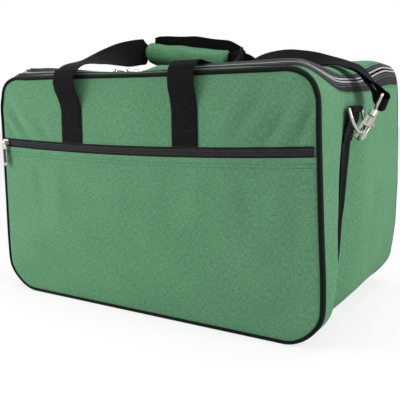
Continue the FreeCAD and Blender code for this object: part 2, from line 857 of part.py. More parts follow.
def make_pull():
    """Pull with X along the slider's bar and Y away from it: an eye, a neck and a windowed plate."""
    level = slider_gap + bar_height
    inner = bar_radius + pull_eye_gap
    outer = inner + pull_eye_wall
    eye_half = pull_eye_length / 2
    eye_start = vec(-eye_half, 0, level)
    half = pull_width / 2
    thin = pull_thickness / 2
    plate = box(-half, half, pull_neck, pull_length - half, level - thin, level + thin)
    plate = plate.fuse(Part.makeCylinder(half, pull_thickness, vec(0, pull_length - half, level - thin)))
    neck = box(-eye_half, eye_half, inner, pull_neck, level - thin, level + thin)
    window_half = pull_window_width / 2
    window = box(-window_half, window_half, pull_window_low, pull_window_high, level - thin, level + thin)
    eye = Part.makeCylinder(outer, pull_eye_length, eye_start, X_AXIS)
    bore = Part.makeCylinder(inner, pull_eye_length, eye_start, X_AXIS)
    solid = eye.fuse(neck).cut(bore).fuse(plate).cut(window)
    fill_half = window_half - pull_insert_gap
    fill_thin = pull_insert_thickness / 2
    fill = box(-fill_half, fill_half, pull_window_low + pull_insert_gap, pull_window_high - pull_insert_gap,
               level - fill_thin, level + fill_thin)
    return single(solid), fill


def make_zip_sliders():
    """Two sliders on the lid's zip and one on the pocket's, each with its pull and the pull's insert."""
    level = slider_gap + bar_height
    lid_top = FreeCAD.Placement(vec(0, zip_line, bag_height + coil_proud), FreeCAD.Rotation())
    face_turn = FreeCAD.Rotation(X_AXIS, 90)
    pocket_front = FreeCAD.Placement(vec(0, front - pocket_coil_proud, pocket_zip_height), face_turn)
    settings = (
        ("main_slider_left", "main_pull_left", main_slider_left_x, lid_top, 0, pull_droop),
        ("main_slider_right", "main_pull_right", main_slider_right_x, lid_top, -90, pull_droop),
        ("pocket_slider", "pocket_pull", pocket_slider_x, pocket_front, 180, 0),
    )
    for slider_name, pull_name, x, seat, heading, droop in settings:
        place = FreeCAD.Placement(vec(x, 0, 0), FreeCAD.Rotation())
        pull_turn = FreeCAD.Rotation(Z_AXIS, heading)
        solids = {slider_name: make_slider(heading != -90)}
        pull, fill = make_pull()
        for name, solid in ((pull_name, pull), (pull_name + "_insert", fill)):
            solid.rotate(vec(0, 0, level), X_AXIS, -droop)
            solid.Placement = FreeCAD.Placement(ORIGIN, pull_turn).multiply(solid.Placement)
            solids[name] = solid
        for name, solid in solids.items():
            solid.Placement = place.multiply(seat).multiply(solid.Placement)
            export(name, [solid])


os.makedirs("parts", exist_ok=True)
make_shell()
make_pocket()
make_lid()
make_handles()
make_wrap()
make_side_web()
make_rings()
make_hooks()
make_strap_ends()
make_strap()
make_zip_sliders()
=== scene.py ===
# %% [markdown]
# # A soft carrying bag for boxed games
#
# The bag is a padded canvas box with piped edges. Its zipped lid is hinged along the rear top edge, a flat
# pocket with a zip covers the lower front, two webbing handles meet in a padded wrap, and a shoulder strap
# hangs on snap hooks at the sides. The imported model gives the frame: where every piece sits and what it
# moves with. Each soft piece is then built again as a surface on a grid of points, because cloth shows its
# bends, its seams and its slack, and a plain solid shows none of them.

import bmesh
import bpy
import numpy as np
from mathutils import Matrix


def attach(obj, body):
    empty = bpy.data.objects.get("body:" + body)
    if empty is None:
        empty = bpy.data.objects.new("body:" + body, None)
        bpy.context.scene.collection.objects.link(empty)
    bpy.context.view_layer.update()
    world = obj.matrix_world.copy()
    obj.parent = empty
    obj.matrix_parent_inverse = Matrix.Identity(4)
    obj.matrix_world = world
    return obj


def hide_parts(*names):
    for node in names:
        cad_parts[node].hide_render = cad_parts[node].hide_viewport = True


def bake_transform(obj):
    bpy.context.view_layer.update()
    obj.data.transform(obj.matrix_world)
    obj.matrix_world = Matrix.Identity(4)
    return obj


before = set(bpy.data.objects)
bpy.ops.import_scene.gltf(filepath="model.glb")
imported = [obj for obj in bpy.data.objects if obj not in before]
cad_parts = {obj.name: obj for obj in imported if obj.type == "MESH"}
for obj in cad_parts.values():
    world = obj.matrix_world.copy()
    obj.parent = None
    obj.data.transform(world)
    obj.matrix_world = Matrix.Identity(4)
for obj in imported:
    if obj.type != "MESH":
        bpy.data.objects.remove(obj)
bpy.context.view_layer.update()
MM = 0.001

# %% [markdown]
# ## Camera
#
# A photograph fixes the camera once a few known corners of the object are found in it. Here the focal
# length, the place and the three angles were fitted to the corners of the box. The matrix below has the
# camera's right, up and backward directions as its columns, which is how Blender stores a rotation.

# %% Camera
FOCAL_PX = 619.01
FRAME_PX = 400
SENSOR = 36.0
camera_place = np.array([0.5251, -0.8074, 0.3067])
forward = np.array([-0.5372, 0.8256, -0.1726])
level_right = np.array([0.8382, 0.5454, 0.0])
level_up = np.array([-0.0941, 0.1447, 0.9850])
ROLL = -0.0259
right_way = level_right * np.cos(ROLL) + level_up * np.sin(ROLL)
up_way = level_up * np.cos(ROLL) - level_right * np.sin(ROLL)
camera_data = bpy.data.cameras.new("camera")
camera_data.sensor_width = SENSOR
camera_data.lens = FOCAL_PX / FRAME_PX * SENSOR
camera_data.clip_start = 0.05
camera = bpy.data.objects.new("camera", camera_data)
bpy.context.scene.collection.objects.link(camera)
turn = np.eye(4)
turn[:3, 0], turn[:3, 1], turn[:3, 2], turn[:3, 3] = right_way, up_way, -forward, camera_place
camera.matrix_world = Matrix(turn.tolist())
bpy.context.scene.camera = camera
print("camera: lens", round(camera_data.lens, 2), "mm")

# %% [markdown]
# ## Points to meshes
#
# Every new piece is one or more grids of points. A grid of rows and columns gives quads between neighbours,
# and a tube is a grid whose last column joins the first. The UV map measures metres along the grid, so that
# a weave keeps its thread spacing on every piece, however the piece bends.

# %% Grids, and pieces made of them
BAG_MIDDLE = np.array([0.0, 0.0, 166.0])


def points_at(*coordinates):
    """Points, or UV pairs, from coordinates that are spread to one common grid."""
    return np.stack(np.broadcast_arrays(*coordinates), -1)


def lengths_along(points, axis):
    """Running length in metres from one grid line to the next, averaged over the grid."""
    steps = np.linalg.norm(np.diff(points, axis=axis), axis=-1).mean(axis=1 - axis)
    return np.concatenate([[0.0], np.cumsum(steps)]) * MM


def patch(points, ring=False, loop=False, uv=None):
    """Quads of a (rows, columns, 3) grid in millimetres; ring joins its columns round, loop its rows."""
    rows, cols = points.shape[:2]
    r, c = np.meshgrid(np.arange(rows - (not loop)), np.arange(cols - (not ring)), indexing="ij")
    down, beside = (r + 1) % rows * cols, (c + 1) % cols
    quads = np.stack([r * cols + c, r * cols + beside, down + beside, down + c], -1).reshape(-1, 4)
    if uv is None:
        full = np.concatenate([points, points[:, :1]], axis=1) if ring else points
        full = np.concatenate([full, full[:1]], axis=0) if loop else full
        uv = np.stack(np.meshgrid(lengths_along(full, 1), lengths_along(full, 0)), -1)
    corners = np.stack([uv[r, c], uv[r, c + 1], uv[r + 1, c + 1], uv[r + 1, c]], -2).reshape(-1, 4, 2)
    flat = points.reshape(-1, 3)
    middle = flat.mean(axis=0) if ring or loop else BAG_MIDDLE
    a, b, d = (flat[quads[:, k]] for k in (0, 1, 3))
    if np.einsum("ij,ij->i", np.cross(b - a, d - a), a - middle).sum() < 0:
        quads, corners = quads[:, ::-1], corners[:, ::-1]
    return flat, quads, corners


def piece(name, patches, finishes, body, replaces=(), closed=False):
    """One object from its grids, with its finishes, riding on a body; closed fills its open ends."""
    mesh = bpy.data.meshes.new(name)
    starts = np.cumsum([0] + [len(p[0]) for p in patches])
    points = np.concatenate([p[0] for p in patches]) * MM
    quads = np.concatenate([p[1] + start for p, start in zip(patches, starts)])
    corners = np.concatenate([p[2] for p in patches])
    mesh.vertices.add(len(points))
    mesh.vertices.foreach_set("co", points.ravel())
    mesh.loops.add(quads.size)
    mesh.loops.foreach_set("vertex_index", quads.ravel().astype(np.int32))
    mesh.polygons.add(len(quads))
    mesh.polygons.foreach_set("loop_start", np.arange(0, quads.size, 4, dtype=np.int32))
    mesh.update(calc_edges=True)
    mesh.uv_layers.new(name="UVMap").data.foreach_set("uv", corners.ravel())
    if closed:
        solid = bmesh.new()
        solid.from_mesh(mesh)
        bmesh.ops.holes_fill(solid, edges=[edge for edge in solid.edges if edge.is_boundary], sides=0)
        bmesh.ops.recalc_face_normals(solid, faces=solid.faces)
        solid.to_mesh(mesh)
        solid.free()
    mesh.polygons.foreach_set("use_smooth", np.full(len(mesh.polygons), True))
    for finish in finishes:
        mesh.materials.append(finish)
    made = bpy.data.objects.new(name, mesh)
    bpy.context.scene.collection.objects.link(made)
    if replaces:
        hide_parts(*replaces)
    if body:
        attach(made, body)
    print(name, len(mesh.vertices), "points")
    return made


def thicken(made, thickness, inner_finish=0):
    """Wall thickness put on the inner side, which may have the next finish of the piece."""
    wall = made.modifiers.new("wall", "SOLIDIFY")
    wall.thickness = thickness * MM
    wall.offset = -1
    wall.use_even_offset = True
    wall.material_offset = inner_finish
    wall.material_offset_rim = inner_finish


# %% [markdown]
# ## How the bag settles
#
# A sewn box never stays a box. Its lower half spreads, the walls belly out between the seams, the pocket
# zip sags in the middle, and the web down each side draws the wall in. All of that is one function from the
# sewn shape to the settled shape, and every soft piece passes through it, so that pieces which lie on each
# other in the plan still do so afterwards.

# %% The sewn box
WIDTH, DEPTH, HEIGHT, CORNER = 530.0, 315.0, 332.0, 50.0
HALF = WIDTH / 2
FRONT, REAR = -DEPTH / 2, DEPTH / 2
PANEL_Y = FRONT + 1.5
SHELL = DEPTH / 2 - 6.3
ANCHOR_Y = 60.0


def bell(value, centre, width):
    """Smooth hill of height 1: e to the minus square of the distance over the width."""
    return np.exp(-((value - centre) / width) ** 2)


def ramp(value, low, high):
    """Smooth step from 0 at low to 1 at high: three t squared minus two t cubed."""
    t = np.clip((value - low) / (high - low), 0, 1)
    return t * t * (3 - 2 * t)


def creases(a, b, table):
    """Sum of soft ridges: each is a bell across a line between two points and fades at both ends."""
    total = np.zeros_like(a)
    for a0, b0, a1, b1, width, height in table:
        run = np.hypot(a1 - a0, b1 - b0)
        t = ((a - a0) * (a1 - a0) + (b - b0) * (b1 - b0)) / run ** 2
        off = ((a - a0) * (b1 - b0) - (b - b0) * (a1 - a0)) / run
        total += height * bell(off, 0, width) * np.clip(4 * t * (1 - t), 0, 1)
    return total


# Each row is a crease: its two ends, its width and its height, in millimetres.
FRONT_CREASES = (
    (-262, 306, -196, 238, 5, -2.2), (-258, 290, -212, 238, 6, 1.9), (-256, 272, -228, 240, 5, -1.7),
    (-252, 322, -176, 240, 9, 2.0), (-184, 272, -162, 240, 6, -1.5), (-170, 284, -146, 240, 7, 1.1),
    (262, 302, 226, 238, 7, -2.4), (248, 296, 206, 238, 8, 2.0), (230, 290, 186, 238, 8, -2.2),
    (212, 308, 156, 238, 9, 1.9), (212, 330, 150, 248, 10, -1.9), (180, 322, 122, 240, 10, 1.5),
    (-40, 250, 30, 316, 18, 1.3), (-70, 250, -10, 310, 16, -1.2),
    (-190, 222, -178, 130, 12, -1.8), (-140, 220, -150, 110, 13, 1.8), (-86, 222, -70, 120, 13, -1.5),
    (-20, 220, -34, 90, 15, 1.7), (48, 222, 60, 110, 13, -1.8), (104, 220, 92, 120, 13, 1.8),
    (160, 222, 176, 120, 12, -2.0), (216, 220, 204, 110, 12, 1.8), (240, 200, 226, 90, 11, -1.5),
    (-250, 60, -190, 20, 12, -1.8), (-240, 100, -160, 40, 15, 1.5), (250, 70, 180, 16, 12, -2.0),
    (244, 120, 160, 40, 15, 1.6), (-60, 60, 60, 40, 20, 1.2),
)
REAR_CREASES = (
    (-240, 300, -150, 200, 14, 1.4), (-210, 300, -120, 190, 14, -1.2), (240, 290, 150, 180, 14, 1.4),
    (200, 300, 120, 190, 13, -1.3), (-60, 250, -40, 80, 18, 1.2), (60, 240, 40, 70, 18, -1.1),
    (-230, 90, -140, 20, 15, -1.2), (230, 100, 150, 20, 15, 1.3),
)
SIDE_CREASES = (
    (-20, 290, -28, 60, 12, 2.0), (30, 280, 10, 60, 14, -2.2), (78, 290, 64, 40, 13, 2.2),
    (116, 286, 108, 60, 10, -1.8), (-104, 300, -112, 80, 12, 1.6), (-90, 120, -132, 30, 12, -1.6),
    (-30, 110, 20, 20, 13, 1.8), (60, 120, 120, 30, 14, -1.6),
)


# Tables of heights, each with a place or a move in millimetres at that height.
WEB_COURSE = np.array([(20, -88), (60, -85), (140, -79), (194, -72.5), (232, -66), (265, -ANCHOR_Y)])
VALLEY = np.array([(0, 6), (40, 13), (80, 16), (140, 15.5), (200, 11.4), (240, 7.5), (265, 4), (285, 0)])
CREST = np.array([(0, 0), (25, 2), (60, 5), (100, 6), (150, 3.6), (200, 2), (250, 0)])
FOOT_TUCK = np.array([(0, 12), (50, 11), (100, 5), (160, 1), (230, 0)])
# Largest moves in millimetres, sideways first, then in depth, then up and down.
SIDE_BELLY, LOW_SPREAD, HIGH_NARROWING, LEFT_LEAN = 7.0, 4.0, 3.0, 3.4
FRONT_CORNER_OUT, REAR_CORNER_OUT = 4.0, 5.0
PANEL_BELLY, CREASE_SHARE, RIGHT_CREASE_SHARE = 4.5, 1.4, 0.7
ZIP_SAG, FOOT_LIFT, REAR_CROWN, END_CROWN, LEFT_UP = 6.5, 6.0, 8.0, 3.0, 3.0
REAR_CORNER_UP, LEFT_CORNER_UP, RIGHT_CORNER_UP = 16.0, 5.0, 2.0
STRIP_UP, STRIP_DIP, LEFT_LIP, RIGHT_LIP, SLIDER_LIP = 5.0, 3.0, 6.5, 4.0, 8.0


def by_height(z, table):
    """Value at a height, read between the rows of a table."""
    return np.interp(z, table[:, 0], table[:, 1])


def web_course(z):
    """Depth of the side web's middle at a height: it drifts outwards on its way down."""
    return by_height(z, WEB_COURSE)


def settle(points):
    """Settled place of points of the sewn box, in millimetres, as a sum of the moves described above."""
    x, y, z = np.moveaxis(points, -1, 0)
    out = np.sign(x)
    side = x / HALF
    level = 2 * z / HEIGHT - 1
    width_share = np.clip(1 - side ** 2, 0, 1)
    height_share = np.clip(1 - level ** 2, 0, 1)
    depth_share = np.clip(1 - (y / REAR) ** 2, 0, 1)
    at_front, at_rear = ramp(-y, 118, 152), ramp(y, 118, 152)
    at_side = ramp(np.abs(x), 225, 262)
    on_top, on_edge, off_floor = ramp(z, 300, 330), ramp(z, 285, 314), ramp(z, 0, 40)
    corner = ramp(np.abs(x), 205, 250) * ramp(z, 285, 318)
    front_corner, rear_corner = corner * ramp(-y, 60, 140), corner * ramp(y, 0, 110)
    foot = ramp(y, -160, -60) * ramp(np.abs(x), 205, 262)

    # Sideways: a valley and a crest beside the web, the belly and folds of the wall, the spread of the lower
    # half, the lean of the left front edge, the tucked rear foot and the upper corners.
    beside = y * out - web_course(z)
    valley = by_height(z, VALLEY) * bell(beside, 8, 28)
    crest = by_height(z, CREST) * bell(beside, -44, 16)
    belly = SIDE_BELLY * depth_share * height_share * (1 - bell(beside, 0, 44))
    folds = creases(y * out, z, SIDE_CREASES) * (1 - bell(beside, 0, 34)) * depth_share
    dx = side * (LOW_SPREAD * bell(z, 65, 75) - HIGH_NARROWING * ramp(z, 150, 300)) * off_floor
    dx = dx + out * at_side * (ramp(z, 0, 30) * (belly + folds + crest) - valley)
    dx = dx - LEFT_LEAN * ramp(-x, 130, 262) * ramp(-y, -20, 110) * off_floor * (1 - ramp(z, 285, 325))
    dx = dx - out * foot * by_height(z, FOOT_TUCK)
    dx = dx + out * (FRONT_CORNER_OUT * front_corner + REAR_CORNER_OUT * rear_corner)

    # In depth: the belly of front and rear, and their creases, deeper on the right of the front.
    dy = (at_rear - at_front) * PANEL_BELLY * width_share * height_share
    front_folds = (CREASE_SHARE + RIGHT_CREASE_SHARE * ramp(x, 60, 190)) * creases(x, z, FRONT_CREASES)
    dy = dy - at_front * front_folds + at_rear * creases(x, z, REAR_CREASES)

    # Up and down: the sag of the pocket zip, the lifted rear foot, the crown of the lid, the raised corners,
    # and at the front edge the strip before the zip and the lips of the lid.
    dz = -ZIP_SAG * at_front * width_share * bell(z, 230, 58)
    dz = dz + FOOT_LIFT * foot * ramp(y, -100, 150) * (1 - ramp(z, 10, 110))
    crown = REAR_CROWN * bell(x, 212, 52) * ramp(y, -40, 70)
    crown = crown + END_CROWN * (bell(x, 205, 58) + bell(x, -205, 60))
    dz = dz + on_top * crown * np.clip(1 - (y / 150) ** 2, 0, 1)
    dz = dz + REAR_CORNER_UP * rear_corner + np.where(x < 0, LEFT_CORNER_UP, RIGHT_CORNER_UP) * front_corner
    dz = dz + LEFT_UP * ramp(-x, -80, 200) * ramp(z, 230, 325)
    strip = (STRIP_UP - STRIP_DIP * bell(x, -17, 70)) * (1 - ramp(np.abs(x), 225, 258)) * ramp(y, -155, -143)
    tape_rise, lid_rise = ramp(y, -139, -128), ramp(y, -135, -119)
    left_lip = LEFT_LIP * ramp(x, -280, -215) * (1 - ramp(x, -200, -62)) * tape_rise
    left_lip = left_lip * (1 - ramp(y, -124, -60))
    right_lip = RIGHT_LIP * ramp(x, 40, 70) * (1 - ramp(x, 205, 250)) * tape_rise
    right_lip = (right_lip + SLIDER_LIP * bell(x, 20, 24) * lid_rise) * (1 - ramp(y, -112, -50))
    dz = dz + on_edge * (strip * (1 - ramp(y, -110, -30)) + left_lip + right_lip)
    return points + np.stack([dx, dy, dz], -1)


print("sewn box:", WIDTH, DEPTH, HEIGHT, "mm, with", len(FRONT_CREASES), "creases on its front")

# %% The outline of the box and the line of its zip
def outline_table():
    """Dense points of the rounded rectangle, from the top centre to the right, and their running length."""
    t = np.linspace(0, 1, 400)
    straight = HALF - CORNER
    edges = [np.stack([straight * t, np.full_like(t, HEIGHT)], -1)]
    for start, x, z in ((90, straight, HEIGHT - CORNER), (0, straight, CORNER),
                        (-90, -straight, CORNER), (-180, -straight, HEIGHT - CORNER)):
        angle = np.radians(start - 90 * t)
        edges.append(np.stack([x + CORNER * np.cos(angle), z + CORNER * np.sin(angle)], -1))
    edges.append(np.stack([-straight * (1 - t), np.full_like(t, HEIGHT)], -1))
    spots = np.concatenate(edges)
    run = np.concatenate([[0.0], np.cumsum(np.linalg.norm(np.diff(spots, axis=0), axis=1))])
    return run, spots


RUN, SPOTS = outline_table()
ROUND = RUN[-1]


def outline(run, inset=0.0):
    """Points (x, z) of the outline at a running length, moved inwards by inset along its normal."""
    run = np.mod(run, ROUND)
    x, z = np.interp(run, RUN, SPOTS[:, 0]), np.interp(run, RUN, SPOTS[:, 1])
    ahead = np.mod(run + 0.5, ROUND)
    back = np.mod(run - 0.5, ROUND)
    tx = np.interp(ahead, RUN, SPOTS[:, 0]) - np.interp(back, RUN, SPOTS[:, 0])
    tz = np.interp(ahead, RUN, SPOTS[:, 1]) - np.interp(back, RUN, SPOTS[:, 1])
    size = np.hypot(tx, tz)
    return x + inset * tz / size, z - inset * tx / size


ZIP_SETBACK, ZIP_DROP, ZIP_TURN = 18.0, 17.5, 97.5
LID_BACK = SHELL - 0.3


def zip_depth(height, offset):
    """Depth at which the zip line, moved by offset, comes down to a height: an arc, level at its end."""
    y_front, y_turn = FRONT + ZIP_SETBACK + offset, FRONT + ZIP_TURN
    low = HEIGHT - ZIP_DROP + offset
    drop = HEIGHT - low
    radius = ((y_turn - y_front) ** 2 + drop ** 2) / (2 * drop)
    return y_turn - np.sqrt(np.maximum(radius ** 2 - (low + radius - height) ** 2, 0))


def corner_run(offset, count):
    """Running lengths and depths of the zip line, moved by offset, where it comes down round the corner."""
    low = HEIGHT - ZIP_DROP + offset
    last = np.arcsin((low - HEIGHT + CORNER) / CORNER)
    angle = np.pi / 2 - (np.pi / 2 - last) * np.linspace(0, 1, count)
    runs = HALF - CORNER + CORNER * (np.pi / 2 - angle)
    return runs, zip_depth(HEIGHT - CORNER + CORNER * np.sin(angle), offset)


def zip_line(offset):
    """Running lengths and depths of the right half of the zip line, from the front middle to the rear."""
    run, depth = corner_run(offset, 36)
    front = np.linspace(0, HALF - CORNER, 60)[:-1]
    rear = np.linspace(depth[-1], LID_BACK, 56)[1:]
    runs = np.concatenate([front, run, np.full(len(rear), run[-1])])
    return runs, np.concatenate([np.full(len(front), depth[0]), depth, rear])


def zip_points(offset, lift=0.0, corner=0.0, side=0.0):
    """Settled points of the whole zip line from the left rear round the front to the right rear.

    The line lies off the teeth by offset, by corner more where it runs down the corners, and by side more
    along the sides.
    """
    plain, at_corner, at_side = (np.stack(zip_line(offset + more)) for more in (0.0, corner, side))
    on_side = ramp(plain[1], -90, -40)
    corner_share = ramp(plain[0], 150, 235) * (1 - on_side)
    runs, depths = plain * (1 - corner_share - on_side) + at_corner * corner_share + at_side * on_side
    runs = np.concatenate([-runs[:0:-1], runs])
    depths = np.concatenate([depths[:0:-1], depths])
    x, z = outline(runs, -lift)
    return settle(points_at(x, depths, z))


print("outline:", round(ROUND, 1), "mm round")

# %% [markdown]
# ## Finishes
#
# The bag is made of few materials, and most of them are woven. A weave is seen in two ways: as a fine
# relief that breaks up the highlight, and as a mottle of lighter and darker threads. Both read the UV map
# in metres, so the thread spacing is a real size. Threads finer than a pixel are drawn about twice as
# coarse as they are, so that they show.

# %% Colours and nodes
def linear(code):
    """Linear colour of an sRGB hex code: the standard curve, channel by channel."""
    srgb = np.array([int(code[k:k + 2], 16) for k in (1, 3, 5)]) / 255
    value = np.where(srgb <= 0.04045, srgb / 12.92, ((srgb + 0.055) / 1.055) ** 2.4)
    return (*value.tolist(), 1.0)


def add(tree, kind, values=None, **settings):
    """Add a node: settings are its own options; a value is a number, or a (node, output) pair to link."""
    made = tree.nodes.new(kind)
    for key, setting in settings.items():
        setattr(made, key, setting)
    for key, value in (values or {}).items():
        if isinstance(value, tuple) and isinstance(value[0], bpy.types.Node):
            tree.links.new(value[0].outputs[value[1]], made.inputs[key])
        else:
            made.inputs[key].default_value = value
    return made


def blank(name):
    """A material with only its output node."""
    made = bpy.data.materials.new(name)
    made.use_nodes = True
    made.node_tree.nodes.clear()
    return made, made.node_tree, made.node_tree.nodes.new("ShaderNodeOutputMaterial")


print("white is", linear("#FFFFFF"))

# %% Woven finishes
# A wave texture of scale 1 has a band about every 0.314 units.
BAND = 0.314


def woven(name, dark, light, thread, slub, rough, sheen, relief, shine, ribs=1.0):
    """Woven cloth: a wave for each thread direction gives relief, stretched noise gives mottled yarn.

    thread is the drawn thread spacing and slub the length of a lighter stretch of yarn, both in millimetres;
    shine is the specular level.
    """
    made, tree, out = blank(name)
    place = add(tree, "ShaderNodeTexCoord")
    warp = add(tree, "ShaderNodeTexWave", {"Vector": (place, "UV"), "Scale": BAND / (thread * MM),
                                           "Distortion": 0.6, "Detail": 1.0}, bands_direction="X")
    weft = add(tree, "ShaderNodeTexWave", {"Vector": (place, "UV"), "Scale": BAND / (thread * ribs * MM),
                                           "Distortion": 0.6, "Detail": 1.0}, bands_direction="Y")
    weave = add(tree, "ShaderNodeMath", {0: (warp, "Fac"), 1: (weft, "Fac")}, operation="MULTIPLY")
    fine, coarse = 4 / (slub * MM), 1 / (slub * MM)
    long_way = add(tree, "ShaderNodeMapping", {"Vector": (place, "UV"), "Scale": (coarse, fine, 1)})
    cross_way = add(tree, "ShaderNodeMapping", {"Vector": (place, "UV"), "Scale": (fine, coarse, 1)})
    yarn_a = add(tree, "ShaderNodeTexNoise", {"Vector": (long_way, "Vector"), "Scale": 1.0, "Detail": 3.0})
    yarn_b = add(tree, "ShaderNodeTexNoise", {"Vector": (cross_way, "Vector"), "Scale": 1.0, "Detail": 3.0})
    yarn = add(tree, "ShaderNodeMath", {0: (yarn_a, "Fac"), 1: (yarn_b, "Fac")}, operation="ADD")
    cloud = add(tree, "ShaderNodeTexNoise", {"Vector": (place, "UV"), "Scale": 14.0, "Detail": 4.0})
    mottle = add(tree, "ShaderNodeMath", {0: (cloud, "Fac"), 1: 0.3, 2: (yarn, "Value")},
                 operation="MULTIPLY_ADD")
    tint = add(tree, "ShaderNodeMapRange", {"Value": (mottle, "Value"), "From Min": 0.93, "From Max": 1.37})
    shade = add(tree, "ShaderNodeMix", {"Factor": (tint, "Result"), "A": linear(dark), "B": linear(light)},
                data_type="RGBA")
    height = add(tree, "ShaderNodeMath", {0: (weave, "Value"), 1: (yarn, "Value")}, operation="ADD")
    bump = add(tree, "ShaderNodeBump", {"Height": (height, "Value"), "Strength": relief,
                                        "Distance": 0.4 * MM})
    gloss = add(tree, "ShaderNodeMapRange", {"Value": (weave, "Value"), "To Min": rough,
                                             "To Max": rough - 0.12})
    surface = add(tree, "ShaderNodeBsdfPrincipled", {
        "Base Color": (shade, "Result"), "Roughness": (gloss, "Result"), "Normal": (bump, "Normal"),
        "Sheen Weight": sheen, "Sheen Roughness": 0.5, "Specular IOR Level": shine})
    tree.links.new(surface.outputs["BSDF"], out.inputs["Surface"])
    return made


# Polyester canvas, plain weave with a matt back coating: mottled yarn, hardly any gloss.
canvas = woven("green_canvas", "#588E67", "#74A982", 1.3, 5.0, 0.9, 0.04, 0.35, 0.15)
# Polypropylene webbing, heavy twill: fine ribs across the band and hardly any shine.
webbing = woven("black_webbing", "#101012", "#1D1D20", 1.6, 6.0, 0.8, 0.01, 0.5, 0.06, 1.6)
# The shoulder strap is the same web, painted a deeper black: painted shade, since its top faces the
# lamp above.
shaded_strap_web = woven("strap_webbing_painted_shade", "#080809", "#131315", 1.6, 6.0, 0.8, 0.01, 0.5, 0.06, 1.6)
# Bias tape over a cord: a dark plain weave, pulled smooth.
bias_tape = woven("dark_bias_tape", "#0B0C0C", "#161918", 1.0, 5.0, 0.66, 0.0, 0.25, 0.08)
# Zip tape, herringbone polyester: matt charcoal.
zip_cloth = woven("charcoal_zip_tape", "#232224", "#3A383A", 1.0, 4.0, 0.78, 0.01, 0.4, 0.1, 2.0)
# The same tape on the pocket, coloured darker.
pocket_cloth = woven("dark_pocket_tape", "#161517", "#252325", 1.0, 4.0, 0.78, 0.01, 0.4, 0.1, 2.0)
# Nylon taffeta lining: thin, dark and slightly shiny.
taffeta = woven("black_taffeta", "#121213", "#202022", 0.9, 6.0, 0.55, 0.05, 0.2, 0.3)
# Hook-and-loop tape: short black pile that takes up the light.
pile = woven("black_pile", "#080808", "#141414", 1.8, 2.5, 0.95, 0.01, 0.9, 0.06)
# Bonded sewing thread: black with a little shine, and green to match the canvas. The ribs along the
# main zip tape are beans in light grey, a painted highlight for the glints on the tape's ridges.
thread_black = woven("black_thread", "#0E0E0F", "#1E1E20", 0.6, 2.0, 0.6, 0.02, 0.3, 0.25)
rib_highlight_thread = woven("rib_thread_painted_highlight", "#6A6C70", "#8A8C90", 0.6, 2.0, 0.6, 0.02, 0.3, 0.25)
thread_green = woven("green_thread", "#437353", "#5A8A69", 0.6, 2.0, 0.6, 0.02, 0.3, 0.25)
# Piped cord along the pocket zip: the tape's own yarn, coloured a little lighter.
zip_cord = woven("grey_zip_cord", "#38363B", "#4C494F", 0.8, 3.0, 0.7, 0.02, 0.4, 0.15)
print("woven finishes:", len(bpy.data.materials))

# %% [markdown]
# Metal, rubber and plastic have no thread. What shows on them is how evenly they shine: handling leaves
# marks that are a little duller or brighter, so a fine noise moves the roughness about its mean.

# %% Hard finishes
def plated(name, colour, rough, metallic, grain):
    """Hard finish with fine handling marks: noise of the grain size in millimetres moves its roughness."""
    made, tree, out = blank(name)
    place = add(tree, "ShaderNodeTexCoord")
    marks = add(tree, "ShaderNodeTexNoise", {"Vector": (place, "Object"), "Scale": 1 / (grain * MM),
                                             "Detail": 5.0})
    gloss = add(tree, "ShaderNodeMapRange", {"Value": (marks, "Fac"), "From Min": 0.3, "From Max": 0.7,
                                             "To Min": rough * 0.75, "To Max": rough * 1.35})
    bump = add(tree, "ShaderNodeBump", {"Height": (marks, "Fac"), "Strength": 0.08, "Distance": 0.1 * MM})
    surface = add(tree, "ShaderNodeBsdfPrincipled", {
        "Base Color": linear(colour), "Roughness": (gloss, "Result"), "Metallic": metallic,
        "Normal": (bump, "Normal")})
    tree.links.new(surface.outputs["BSDF"], out.inputs["Surface"])
    return made


# Nickel-plated zinc die casting: bright, slightly warm, softened by handling.
nickel = plated("nickel_plate", "#B8B5AC", 0.2, 1.0, 2.0)
# Drawn spring wire: bright, with fine lengthwise marks.
wire = plated("spring_wire", "#B9B9B6", 0.3, 1.0, 0.8)
# Nylon zip teeth: the main zip's grey coil is painted near white, a painted highlight for the glint on
# every turn; the coil of the pocket zip is dark.
teeth = plated("nylon_teeth_painted_glint", "#D2D4D6", 0.3, 0.0, 1.0)
dark_teeth = plated("dark_nylon_teeth", "#1C1C1E", 0.34, 0.0, 1.0)
# Moulded rubber and acetal, both black: the rubber dull, the acetal with a soft gloss.
rubber = plated("black_rubber", "#0D0D0D", 0.6, 0.0, 1.5)
acetal = plated("black_acetal", "#141414", 0.42, 0.0, 3.0)
print("all finishes:", len(bpy.data.materials))

# %% [markdown]
# ## Walls
#
# Front, rear, gusset and lid are canvas over foam with a lining inside. Each is one grid of the outer
# surface; a Solidify modifier gives the wall its thickness and puts the lining on the inner side. The front
# and rear panels are grids of level rows, each as wide as the rounded outline is there, and they dip
# towards the piping where the seam pulls them in.

# %% Front and rear panels
PANEL_INSET, SEAM_REACH = 3.2, 7.0
PANEL_DIP, PANEL_WALL, GUSSET_WALL, LID_WALL = 1.2, 4.6, 6.5, 6.0


def panel_rows(low, high, inset):
    """Heights of the rows, closer together in the rounded corners, between two heights."""
    curve = np.sin(np.linspace(0, np.pi / 2, 12))
    radius = CORNER - inset
    lower = inset + radius * (1 - curve[::-1])
    upper = HEIGHT - lower[::-1]
    rows = np.concatenate([lower, np.linspace(CORNER, HEIGHT - CORNER, 62)[1:-1], upper])
    rows = rows[(rows > low + 1) & (rows < high - 1)]
    return np.concatenate([[low], rows, [high]])


def half_width(z, inset):
    """Half width of the rounded outline at a height: the corner's circle near top and bottom."""
    radius = CORNER - inset
    rise = np.clip(np.maximum(CORNER - z, z - HEIGHT + CORNER), 0, radius)
    return HALF - CORNER + np.sqrt(radius ** 2 - rise ** 2)


